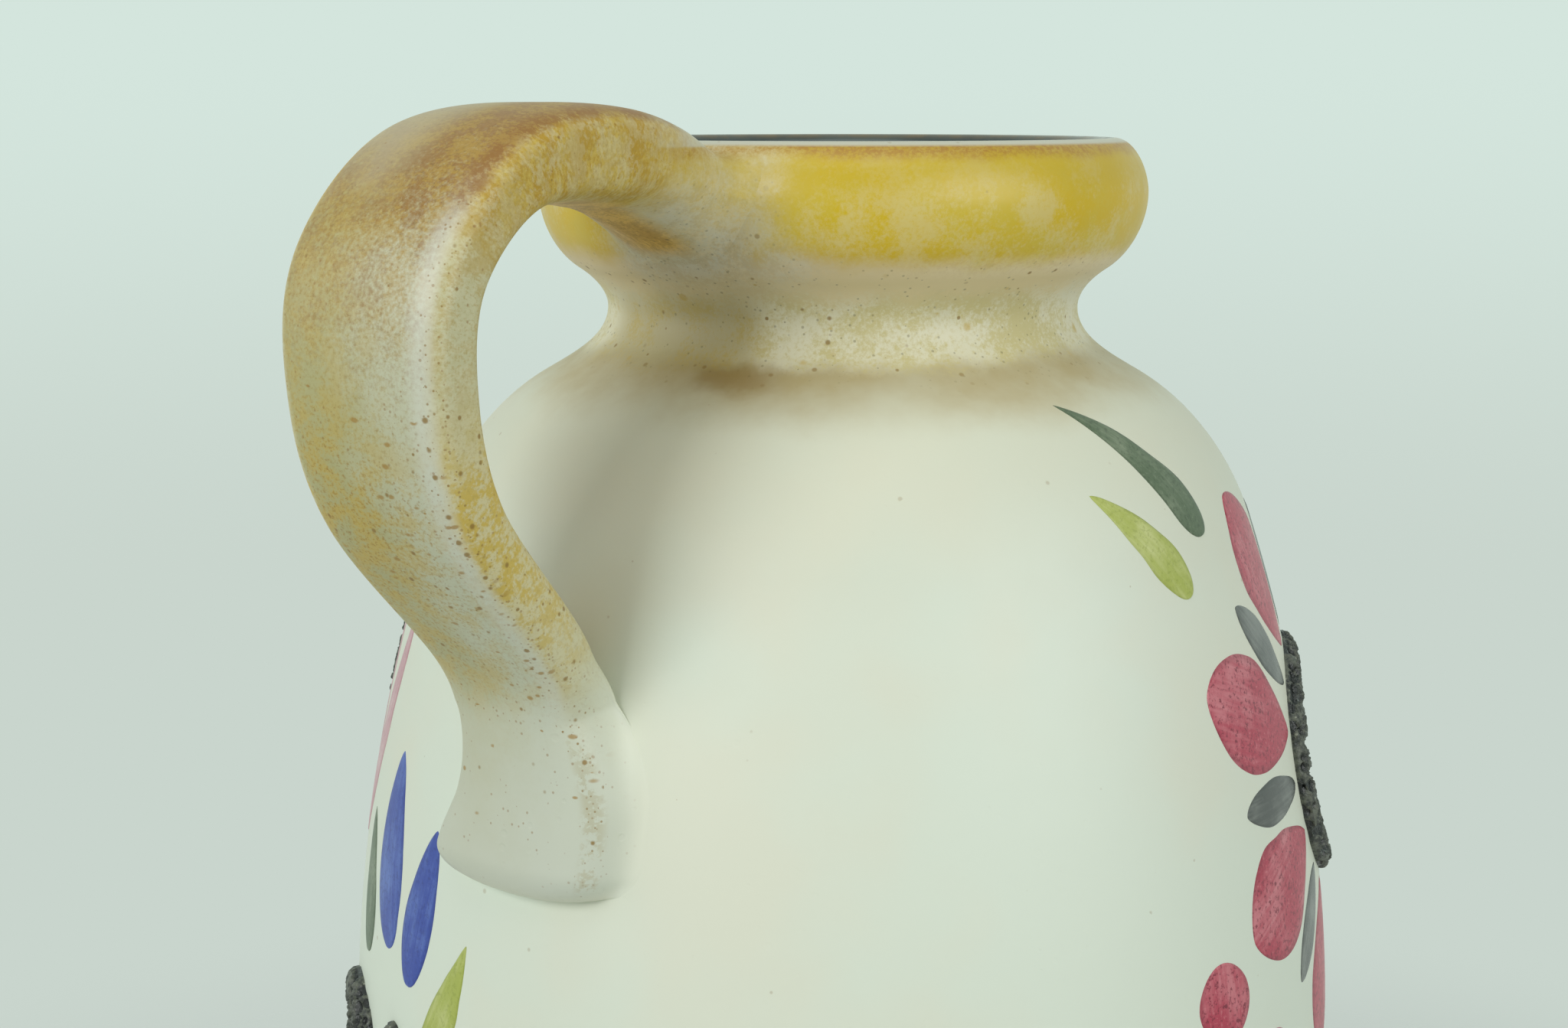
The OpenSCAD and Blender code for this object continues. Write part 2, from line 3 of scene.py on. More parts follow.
import bmesh
import bpy
import numpy as np
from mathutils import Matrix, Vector


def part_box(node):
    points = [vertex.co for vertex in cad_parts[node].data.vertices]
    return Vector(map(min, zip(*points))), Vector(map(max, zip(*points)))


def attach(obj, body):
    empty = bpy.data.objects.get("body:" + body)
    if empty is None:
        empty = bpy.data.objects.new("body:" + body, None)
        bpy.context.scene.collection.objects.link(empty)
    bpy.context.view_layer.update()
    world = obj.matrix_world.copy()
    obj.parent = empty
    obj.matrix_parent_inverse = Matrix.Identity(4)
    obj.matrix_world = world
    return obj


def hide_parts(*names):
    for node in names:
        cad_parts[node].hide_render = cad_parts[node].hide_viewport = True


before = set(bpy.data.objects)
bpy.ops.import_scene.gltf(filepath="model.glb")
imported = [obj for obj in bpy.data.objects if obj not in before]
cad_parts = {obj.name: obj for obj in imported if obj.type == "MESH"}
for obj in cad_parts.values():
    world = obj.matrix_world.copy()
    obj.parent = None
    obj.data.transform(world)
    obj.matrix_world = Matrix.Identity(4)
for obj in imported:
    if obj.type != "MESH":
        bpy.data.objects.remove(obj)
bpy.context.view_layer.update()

MM = 0.001

# Body outline: places of [radius, height, heading in degrees] from the foot up to the lip
BODY_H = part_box("body_casting")[1].z / MM
FOOT_R = 64
FOOT_LEAN = 28
FOOT_BEVEL = 1.5
FOOT_RING_W = 8
FOOT_RECESS = 2.5
WALL = 6
FLOOR_Z = 9
HEEL_R = 16
RIM_R = 56.5
NECK_Z = BODY_H - 31
LIP_R = 50
THROAT_R = 38
THROAT_LEN = 9
GLAZE_T = 0.8
BOND_GAP = 0.15
BELLY = [94, 128, 90]
SHOULDER = [76.5, BODY_H - 69, 108.5]
LEDGE = [57, BODY_H - 44, 149]
OUTER_PLACES = [
    [FOOT_R, FOOT_BEVEL, 90 - FOOT_LEAN],
    BELLY,
    SHOULDER,
    LEDGE,
    [44, NECK_Z, 90],
    [49.5, BODY_H - 23.5, 33],
    [RIM_R, BODY_H - 10, 90],
    [LIP_R, BODY_H, 180],
]


def inside(place):
    """A place of the outer outline moved in by the wall, heading down."""
    turn = math.radians(place[2])
    return [place[0] - WALL * math.sin(turn), place[1] + WALL * math.cos(turn), place[2] + 180]


HEEL_RUN = FOOT_R + (FLOOR_Z + HEEL_R) * math.tan(math.radians(FOOT_LEAN)) - WALL - HEEL_R * 0.35
INNER_PLACES = [
    [LIP_R, BODY_H, 180],
    [46, BODY_H - 4.5, 270],
    [49, BODY_H - 12, 270],
    [THROAT_R, NECK_Z + THROAT_LEN / 2, 270],
    [THROAT_R, NECK_Z - THROAT_LEN / 2, 270],
    inside(LEDGE),
    inside(SHOULDER),
    inside(BELLY),
    [HEEL_RUN, FLOOR_Z + HEEL_R, 242],
    [HEEL_RUN - HEEL_R * 1.6, FLOOR_Z, 180],
    [8, FLOOR_Z, 180],
]


def direction(degrees):
    turn = np.radians(degrees)
    return np.array([np.cos(turn), np.sin(turn)])


def outline(places, steps):
    """A smooth line through places."""
    line = []
    for a, b in zip(places, places[1:]):
        p, q = np.array(a[:2], float), np.array(b[:2], float)
        reach = np.linalg.norm(q - p)
        for t in np.arange(steps) / steps:
            line.append(
                (2 * t**3 - 3 * t**2 + 1) * p
                + (t**3 - 2 * t**2 + t) * reach * direction(a[2])
                + (3 * t**2 - 2 * t**3) * q
                + (t**3 - t**2) * reach * direction(b[2])
            )
    return np.array(line + [places[-1][:2]])


def left_of(line):
    """Unit vectors to the left of a line's own direction."""
    run = np.gradient(line, axis=0)
    run /= np.linalg.norm(run, axis=1)[:, None]
    return np.stack([-run[:, 1], run[:, 0]], 1)


def lengths(line):
    """How far along a line each of its points is."""
    return np.concatenate([[0], np.cumsum(np.linalg.norm(np.diff(line, axis=0), axis=1))])


OUTLINE_STEPS = 26
OUTER_LINE = outline(OUTER_PLACES, OUTLINE_STEPS)
INNER_LINE = outline(INNER_PLACES, OUTLINE_STEPS)


def body_r(z):
    return np.interp(z, OUTER_LINE[:, 1], OUTER_LINE[:, 0])


def over_body(spray, drawn, lift):
    """Points over the wall. A spray is [angle, height] of its middle, and drawn points are
    [millimetres to the right, millimetres up] from there."""
    drawn = np.asarray(drawn, float)
    z = spray[1] + drawn[..., 1]
    r = body_r(z)
    a = math.radians(spray[0]) + drawn[..., 0] / r
    return np.stack([(r + lift) * np.cos(a), (r + lift) * np.sin(a), z], -1)


# Meshes
SHARP_FROM = math.radians(62)


def placed(name, data):
    made = bpy.data.objects.new(name, data)
    bpy.context.scene.collection.objects.link(made)
    return made


def loft(name, sheaf, notes=None):
    """One mesh of closed lofts. Each loft is a (rings, points, 3) array in millimetres, closed round
    its rings and at both ends. Notes are named values for each point, kept as mesh attributes."""
    points, faces, start = [], [], 0
    kept = {key: [] for key in notes or {}}
    for i, rings in enumerate(sheaf):
        rows, cols = rings.shape[:2]
        points += [rings.reshape(-1, 3), rings[0].mean(0)[None], rings[-1].mean(0)[None]]
        at = start + np.arange(rows * cols).reshape(rows, cols)
        after = np.roll(at, -1, axis=1)
        quads = np.stack([at[:-1], after[:-1], after[1:], at[1:]], -1).reshape(-1, 4)
        faces += quads.tolist()
        for ring, middle in ((0, rows * cols), (rows - 1, rows * cols + 1)):
            faces += [[start + middle, int(a), int(b)] for a, b in zip(at[ring], after[ring])]
        for key in kept:
            note = notes[key][i].reshape(rows * cols, -1)
            ends = [notes[key][i][row].reshape(cols, -1).mean(0)[None] for row in (0, -1)]
            kept[key] += [note, *ends]
        start += rows * cols + 2
    mesh = bpy.data.meshes.new(name)
    mesh.from_pydata((np.concatenate(points) * MM).tolist(), [], faces)
    for key, values in kept.items():
        values = np.concatenate(values).astype(np.float32)
        kind, field = ("FLOAT", "value") if values.shape[1] == 1 else ("FLOAT_VECTOR", "vector")
        mesh.attributes.new(key, kind, "POINT").data.foreach_set(field, values.ravel())
    tidy = bmesh.new()
    tidy.from_mesh(mesh)
    bmesh.ops.recalc_face_normals(tidy, faces=tidy.faces)
    for edge in tidy.edges:
        edge.smooth = edge.calc_face_angle(0) < SHARP_FROM
    tidy.to_mesh(mesh)
    tidy.free()
    mesh.polygons.foreach_set("use_smooth", [True] * len(mesh.polygons))
    return placed(name, mesh)


def turned(profile, turns):
    """Rings of a profile of [radius, height] turned about the axis."""
    a = np.arange(turns) / turns * 2 * math.pi
    r, z = profile[:, :1], profile[:, 1:]
    return np.stack([r * np.cos(a), r * np.sin(a), z + 0 * a], -1)


def eased(t):
    u = np.clip(t, 0, 1)
    return u * u * (3 - 2 * u)


def smooth(a, b, c, d, t):
    """A place between b and c on the curve that also goes through a and d."""
    return 0.5 * (
        2 * b + (c - a) * t + (2 * a - 5 * b + 4 * c - d) * t**2 + (3 * b - a - 3 * c + d) * t**3
    )


def with_ends(points):
    """Points with one more before the first and after the last, in line with them."""
    points = [np.array(p, float) for p in points]
    return [2 * points[0] - points[1], *points, 2 * points[-1] - points[-2]]


def smooth_line(points, step):
    """A curve through points, with a new point about every step."""
    points = with_ends(points)
    line = []
    for a, b, c, d in zip(points, points[1:], points[2:], points[3:]):
        count = max(2, round(np.linalg.norm(c - b) / step))
        line += [smooth(a, b, c, d, k / count) for k in range(count)]
    return np.array([*line, points[-2]])


# Chance that stays the same each run
CELL_MIX = (374761393, 668265263, 2147483647)
SALT_MIX = 1274126177
LAST_MIX = 2246822519
LOW_BITS = 0xFFFFFFFF


def scatter(cells, salt):
    """A number from 0 to 1 for each whole-number cell."""
    mixed = sum(cells[..., i] * mix for i, mix in enumerate(CELL_MIX))
    mixed = (mixed + salt * SALT_MIX) & LOW_BITS
    mixed = ((mixed ^ (mixed >> 13)) * SALT_MIX) & LOW_BITS
    mixed = ((mixed ^ (mixed >> 16)) * LAST_MIX) & LOW_BITS
    return (mixed ^ (mixed >> 15)) / LOW_BITS


def nearest_pore(points, size, salt):
    """Distance to the nearest of many scattered pores, in pore spacings, and that pore's own number."""
    place = points / size
    home = np.floor(place).astype(np.int64)
    best = np.full(place.shape[:-1], 9.0)
    own = np.zeros(place.shape[:-1])
    for shift in np.ndindex(3, 3, 3):
        cell = home + np.array(shift) - 1
        pore = cell + np.stack([scatter(cell, salt + i) for i in range(3)], -1)
        far = np.linalg.norm(pore - place, axis=-1)
        nearer = far < best
        best = np.where(nearer, far, best)
        own = np.where(nearer, scatter(cell, salt + 7), own)
    return best, own


def ripple(points, size, salt):
    """Soft noise from -1 to 1 with waves of about that size."""
    place = points / size
    home = np.floor(place).astype(np.int64)
    t = eased(place - home)
    total = 0
    for shift in np.ndindex(2, 2, 2):
        weight = np.prod(np.where(np.array(shift) == 1, t, 1 - t), axis=-1)
        total = total + weight * scatter(home + np.array(shift), salt)
    return 2 * total - 1


# Shader helpers


def tone(code):
    """A colour as it looks on a screen, such as "d6d9c5", in the shader's own values."""
    parts = [int(code[i : i + 2], 16) / 255 for i in (0, 2, 4)]
    return (*[((p + 0.055) / 1.055) ** 2.4 if p > 0.04045 else p / 12.92 for p in parts], 1.0)


class Shades:
    """Adds nodes to one tree. An input takes a number, a colour or another node's output."""

    def __init__(self, tree):
        self.tree = tree

    def add(self, kind, inputs, **settings):
        made = self.tree.nodes.new(kind)
        for name, value in settings.items():
            setattr(made, name, value)
        for name, value in inputs.items():
            if isinstance(value, bpy.types.NodeSocket):
                self.tree.links.new(value, made.inputs[name])
            else:
                made.inputs[name].default_value = value
        return made

    def maths(self, how, *values, clamp=False):
        """One value after another, taken into the first."""
        total = values[0]
        for value in values[1:]:
            inputs = {0: total, 1: value}
            total = self.add("ShaderNodeMath", inputs, operation=how, use_clamp=clamp).outputs[0]
        return total

    def times(self, *values):
        return self.maths("MULTIPLY", *values)

    def plus(self, *values):
        return self.maths("ADD", *values)

    def minus(self, *values):
        return self.maths("SUBTRACT", *values)

    def most(self, *values):
        return self.maths("MAXIMUM", *values)

    def sway(self, noise, reach=1.0):
        """Noise around 0.5 as a sway about 0."""
        return self.times(self.minus(noise, 0.5), reach)

    def step(self, value, low, high, at_low=0.0, at_high=1.0):
        """Eases from one value to another as the input goes from low to high."""
        inputs = {"Value": value, "From Min": low, "From Max": high, "To Min": at_low, "To Max": at_high}
        return self.add("ShaderNodeMapRange", inputs, interpolation_type="SMOOTHSTEP").outputs[0]

    def band(self, value, rise_from, rise_to, fall_from, fall_to):
        """1 between two edges that ease off to 0."""
        return self.times(self.step(value, rise_from, rise_to), self.step(value, fall_to, fall_from))

    def lay(self, mask, under, over):
        """One colour over another where the mask is 1. A colour may be given by its code."""
        under, over = (tone(c) if isinstance(c, str) else c for c in (under, over))
        return self.add("ShaderNodeMix", {0: mask, 6: under, 7: over}, data_type="RGBA").outputs[2]

    def coats(self, colour, *layers):
        """A colour with layers laid on it in turn, each a colour and the masks that it shows through."""
        for over, *masks in layers:
            colour = self.lay(self.times(*masks), colour, over)
        return colour

    def blend(self, mask, under, over):
        """One plain value over another where the mask is 1."""
        return self.add("ShaderNodeMix", {0: mask, 2: under, 3: over}, data_type="FLOAT").outputs[0]

    def noise(self, place, scale, detail, rough, warp=0.0):
        inputs = {"Vector": place, "Scale": scale, "Detail": detail, "Roughness": rough, "Distortion": warp}
        return self.add("ShaderNodeTexNoise", inputs).outputs[0]

    def cloud(self, place, size, detail=3.0, rough=0.55, warp=0.0):
        """Noise around 0.5 with patches of about that size in millimetres."""
        return self.noise(place, 1 / size, detail, rough, warp)

    def moved(self, place, shift, stretch=(1, 1, 1)):
        inputs = {"Vector": place, "Location": shift, "Scale": stretch}
        return self.add("ShaderNodeMapping", inputs).outputs[0]

    def parts(self, vector):
        return self.add("ShaderNodeSeparateXYZ", {0: vector}).outputs

    def place(self):
        """Where a point is on the vase, in millimetres."""
        spot = self.add("ShaderNodeTexCoord", {}).outputs["Object"]
        return self.add("ShaderNodeVectorMath", {0: spot, "Scale": 1 / MM}, operation="SCALE").outputs[0]

    def note(self, name, output="Fac"):
        return self.add("ShaderNodeAttribute", {}, attribute_name=name).outputs[output]

    def use(self, group, inputs):
        return self.add("ShaderNodeGroup", inputs, node_tree=group).outputs


SOCKETS = {"Place": "NodeSocketVector", "Brush": "NodeSocketVector", "Colour": "NodeSocketColor"}


def new_group(name, inputs, outputs):
    """An empty shader group with named sockets, its helper, its inputs, and a function that ends it."""
    tree = bpy.data.node_groups.new(name, "ShaderNodeTree")
    for way, labels in (("INPUT", inputs), ("OUTPUT", outputs)):
        for label in labels:
            kind = SOCKETS.get(label, "NodeSocketFloat")
            tree.interface.new_socket(name=label, in_out=way, socket_type=kind)
    entry = tree.nodes.new("NodeGroupInput").outputs
    ending = tree.nodes.new("NodeGroupOutput").inputs

    def give(**results):
        for label, socket in results.items():
            tree.links.new(socket, ending[label])
        return tree

    return Shades(tree), entry, give


def specks_group():
    """Round specks scattered through the glaze. Share is how many of the spots hold one."""
    s, entry, give = new_group("Specks", ["Place", "Size", "Share"], ["Mask"])
    density = s.maths("DIVIDE", 1.0, entry["Size"])
    spots = s.add("ShaderNodeTexVoronoi", {"Vector": entry["Place"], "Scale": density}).outputs
    chance = s.add("ShaderNodeSeparateColor", {0: spots["Color"]}).outputs
    radius = s.step(chance[1], 0.0, 1.0, 0.1, 0.32)
    core = s.times(radius, 0.45)
    dot = s.step(spots["Distance"], radius, core)
    there = s.maths("LESS_THAN", chance[0], entry["Share"])
    return give(Mask=s.times(dot, there))


SPECKS = specks_group()


def specks(s, place, size, share):
    return s.use(SPECKS, {"Place": place, "Size": size, "Share": share})["Mask"]


def mottle_group():
    """Cloudy glaze that breaks into fine grains at the edge of each cloud."""
    s, entry, give = new_group("Mottle", ["Place", "Size", "Cover", "Break"], ["Mask", "Grain"])
    coarse = s.maths("DIVIDE", 1.0, entry["Size"])
    clouds = s.noise(entry["Place"], coarse, 4.0, 0.6)
    grain = s.cloud(entry["Place"], 0.8, 4.0, 0.75)
    rough = s.plus(clouds, s.sway(grain, entry["Break"]))
    edge = s.minus(1.0, entry["Cover"])
    mask = s.step(rough, s.minus(edge, 0.12), s.plus(edge, 0.12))
    return give(Mask=mask, Grain=grain)


MOTTLE = mottle_group()


def mottle(s, place, size, cover, breaking):
    made = s.use(MOTTLE, {"Place": place, "Size": size, "Cover": cover, "Break": breaking})
    return made["Mask"], made["Grain"]


def fired_skin_group():
    """The slightly uneven skin of a fired glaze: long soft waves, orange peel and a few pinholes."""
    s, entry, give = new_group("Fired skin", ["Place", "Pits"], ["Height"])
    waves = s.times(s.cloud(entry["Place"], 9.0, 1.0), 0.5)
    peel = s.times(s.cloud(entry["Place"], 1.6, 2.0), 0.22)
    holes = s.times(specks(s, entry["Place"], 2.6, 0.5), entry["Pits"])
    return give(Height=s.minus(s.plus(waves, peel), holes))


FIRED_SKIN = fired_skin_group()


def fired_skin(s, place, pits):
    return s.use(FIRED_SKIN, {"Place": place, "Pits": pits})["Height"]


# Colours of the sprayed glazes, as they look under plain light, with a few painted shades and a painted
# highlight among them
CREAM = "dce7d6"
CREAM_WARM = "dfe3cf"
NECK_GREY = "e1dfc2"
NECK_OLIVE = "cabf7c"
NECK_BLOT = "c4a740"
RIM_YELLOW = "d3bb38"
RIM_GOLD = "d6b602"
RIM_PALE = "dcd29c"
RIM_AMBER = "bea416"
RIM_BROWN = "a5751c"
UNDER_RIM = "e8dab0"
# tan blush, greyed to paint the shade of the crease below the neck
TAN_BLUSH_AND_SHADE = "b2a271"
# painted shade for the shoulder
SHOULDER_SHADE = "d2d2b8"
# painted highlight along the top of the lip
LIP_TOP_HIGHLIGHT = "c6c6b0"
# darker olive for the neck beside the handle
NECK_BESIDE_HANDLE = "b0a368"
JOINT_PALE = "d3d4c4"
JOINT_TAN = "b9a878"
SPECK_BROWN = "8c6c26"
SPECK_DARK = "6a6038"
BARE_CLAY = "cbb491"

# Heights where one sprayed glaze goes over into the next, and where the painted shade on the shoulder starts
RIM_FROM = BODY_H - 20
NECK_FROM = BODY_H - 38
BLUSH_FROM = BODY_H - 49
SHOULDER_SHADE_FROM = BODY_H - 82
LIP_FROM = BODY_H - 3


def body_glaze_group():
    """The sprayed glazes of the body by height, with painted shade on the shoulder and a painted highlight
    on top of the lip, and the paler patch round the upper end of the handle.
    """
    s, entry, give = new_group("Body glazes", ["Place"], ["Colour", "Gloss"])
    place = entry["Place"]
    x, y, z = s.parts(place)
    drift = s.sway(s.cloud(place, 14.0, 4.0, 0.65))
    level = s.plus(z, s.times(drift, 5.0))

    # Cream wall, painted shade on the shoulder, a tan blush below the neck greyed with painted shade of the
    # crease, and the mottled neck
    cream = s.lay(s.step(s.cloud(place, 60.0), 0.4, 0.7), CREAM, CREAM_WARM)
    blush_patches = s.step(s.cloud(place, 22.0, 4.0), 0.3, 0.7, 0.5, 1.0)
    olive, olive_grain = mottle(s, place, 12.0, 0.5, 0.7)
    neck = s.lay(s.times(olive, 0.75), NECK_GREY, NECK_OLIVE)
    neck_level = s.plus(level, s.sway(olive_grain, 3.0))
    off_handle = s.most(s.times(y, -1.0), s.times(y, 0.5))
    from_handle = s.maths("DIVIDE", off_handle, s.most(s.times(x, -1.0), 1.0))
    on_neck = s.band(neck_level, NECK_FROM - 3, NECK_FROM + 1, RIM_FROM - 11, RIM_FROM - 4)
    # a darker olive patch on the neck beside the handle, with denser blots
    beside_handle = s.times(s.step(from_handle, 0.38, 0.2), on_neck)
    beside_handle_colour = s.lay(s.times(olive, 0.55), NECK_BESIDE_HANDLE, NECK_BLOT)
    colour = s.coats(
        cream,
        # painted shade on the shoulder
        (SHOULDER_SHADE, s.step(level, SHOULDER_SHADE_FROM, BLUSH_FROM, 0.0, 0.5)),
        # tan blush, greyed as painted shade in the crease
        (TAN_BLUSH_AND_SHADE, s.step(level, BLUSH_FROM, NECK_FROM - 1), blush_patches),
        (neck, s.step(neck_level, NECK_FROM - 1.4, NECK_FROM + 2.2)),
        (UNDER_RIM, s.step(neck_level, RIM_FROM - 8.5, RIM_FROM - 3.5)),
        # darker olive patch on the neck beside the handle
        (beside_handle_colour, beside_handle, 0.62),
    )

    # Mustard rim with a browned lower edge
    gold, gold_grain = mottle(s, s.moved(place, (31, 7, 3)), 16.0, 0.52, 0.4)
    pale = mottle(s, s.moved(place, (5, 53, 19)), 12.0, 0.44, 0.55)[0]
    mustard = s.coats(
        RIM_YELLOW,
        (RIM_GOLD, gold, 0.85),
        (RIM_PALE, pale, 0.5),
        (RIM_AMBER, s.step(level, RIM_FROM + 8, RIM_FROM + 16, 0.0, 0.6)),
    )
    rim = s.step(level, RIM_FROM - 2.0, RIM_FROM + 2.0)
    edge = s.band(z, RIM_FROM - 4, RIM_FROM - 0.5, RIM_FROM, RIM_FROM + 4)
    grains = s.maths("ADD", s.step(gold_grain, 0.45, 0.62), s.step(x, -20.0, -46.0), clamp=True)

    # Pale patch at the handle's joint, the singed lip, and a painted highlight along the top of the lip
    far_less = s.most(s.times(y, -1.0), s.times(y, 2.2))
    lean = s.times(s.minus(z, RIM_FROM + 10), 0.5)
    beside = s.plus(far_less, lean, s.times(drift, 26.0), s.sway(gold_grain, 14.0))
    on_rim = s.step(z, RIM_FROM - 9, RIM_FROM + 1)
    joint = s.times(s.step(x, -10.0, -34.0), s.step(beside, 28.0, 3.0), on_rim)
    away = s.minus(1.0, joint)
    ochre = mottle(s, s.moved(place, (0, 17, 40)), 8.0, 0.42, 0.85)[0]
    tan = mottle(s, s.moved(place, (23, 0, 11)), 4.5, 0.47, 0.9)[0]
    patch = s.coats(JOINT_PALE, (UNDER_RIM, ochre, 0.45), (JOINT_TAN, tan, 0.45))
    lip_level = s.plus(z, s.times(drift, 3.0))
    lip = s.step(lip_level, LIP_FROM - 0.8, LIP_FROM + 1.8)
    singed = s.times(lip, s.step(gold_grain, 0.4, 0.6, 0.45, 0.9), away)

    # Darker brown in the crease beside the handle, blots and specks
    spotted = s.times(s.step(level, NECK_FROM - 5, NECK_FROM + 2), s.minus(1.0, s.times(rim, away)))
    crease = s.band(level, NECK_FROM - 5, NECK_FROM - 2, NECK_FROM - 1, NECK_FROM + 1.5)
    crease_darkening = s.times(crease, s.step(from_handle, 0.5, 0.3), s.step(y, -2.0, -7.0), s.step(x, 0.0, -20.0))
    blots = specks(s, s.moved(place, (2, 6, 13)), 4.5, s.blend(beside_handle, 0.22, 0.6))
    small = specks(s, s.moved(place, (9, 4, 1)), 1.1, s.blend(joint, 0.45, 0.85))
    big = specks(s, place, 2.1, 0.2)
    dust = specks(s, s.moved(place, (3, 8, 21)), 1.8, 0.02)
    colour = s.coats(
        colour,
        (mustard, rim),
        (RIM_BROWN, edge, grains, 0.14),
        (patch, joint, 0.9),
        (RIM_BROWN, singed),
        # painted highlight along the top of the lip
        (LIP_TOP_HIGHLIGHT, s.step(z, LIP_FROM + 2.0, LIP_FROM + 2.6)),
        # darker brown in the crease beside the handle
        (SPECK_BROWN, crease_darkening, 0.5),
        (NECK_BLOT, blots, spotted, 0.55),
        (SPECK_DARK, small, spotted, 0.45),
        (SPECK_BROWN, big, spotted, 0.8),
        (SPECK_BROWN, dust, 0.3),
        (BARE_CLAY, s.step(z, 0.9, 0.3)),
    )
    return give(Colour=colour, Gloss=s.blend(rim, 0.5, 0.36))


BODY_GLAZES = body_glaze_group()


def new_material(name):
    material = bpy.data.materials.new(name)
    material.use_nodes = True
    material.node_tree.nodes.clear()
    return material, Shades(material.node_tree)


def finish_material(s, colour, gloss, height, depth):
    """A finish's shader. Depth is how deep a height of 1 is, in millimetres."""
    bump = s.add("ShaderNodeBump", {"Strength": 1.0, "Distance": depth * MM, "Height": height})
    inputs = {"Base Color": colour, "Roughness": gloss, "Normal": bump.outputs[0]}
    shader = s.add("ShaderNodeBsdfPrincipled", inputs)
    s.add("ShaderNodeOutputMaterial", {0: shader.outputs[0]})


def body_material():
    material, s = new_material("cream_and_amber_glaze")
    place = s.place()
    glaze = s.use(BODY_GLAZES, {"Place": place})
    gloss = s.plus(glaze["Gloss"], s.sway(s.cloud(place, 7.0), 0.12))
    finish_material(s, glaze["Colour"], gloss, fired_skin(s, place, 0.25), 0.06)
    return material


# Colours of the strap's glazes, with a painted sheen and a painted highlight among them
STRAP_PALE = "c6caae"
# painted highlight for the near ridge
STRAP_RIDGE_HIGHLIGHT = "dadece"
STRAP_TAN = "b1ae79"
STRAP_OLIVE = "a3904e"
STRAP_OCHRE = "b3932c"
STRAP_YELLOW = "c9ac38"
STRAP_GOLD = "b18a10"
STRAP_BROWN = "8d6119"
STRAP_DARK = "6f5220"
STRAP_RUST = "deb85c"
STRAP_BLOOM = "d2cfa8"
# painted sheen for the far side of the bend
STRAP_SHEEN = "bdb699"
FLANK_TAN = "c6c49a"
TOE_PALE = "ccd3c3"
TOE_CREAM = "d9dac6"
STRAP_STRAW = "c2a746"
STRAP_FLECK = "a07a28"


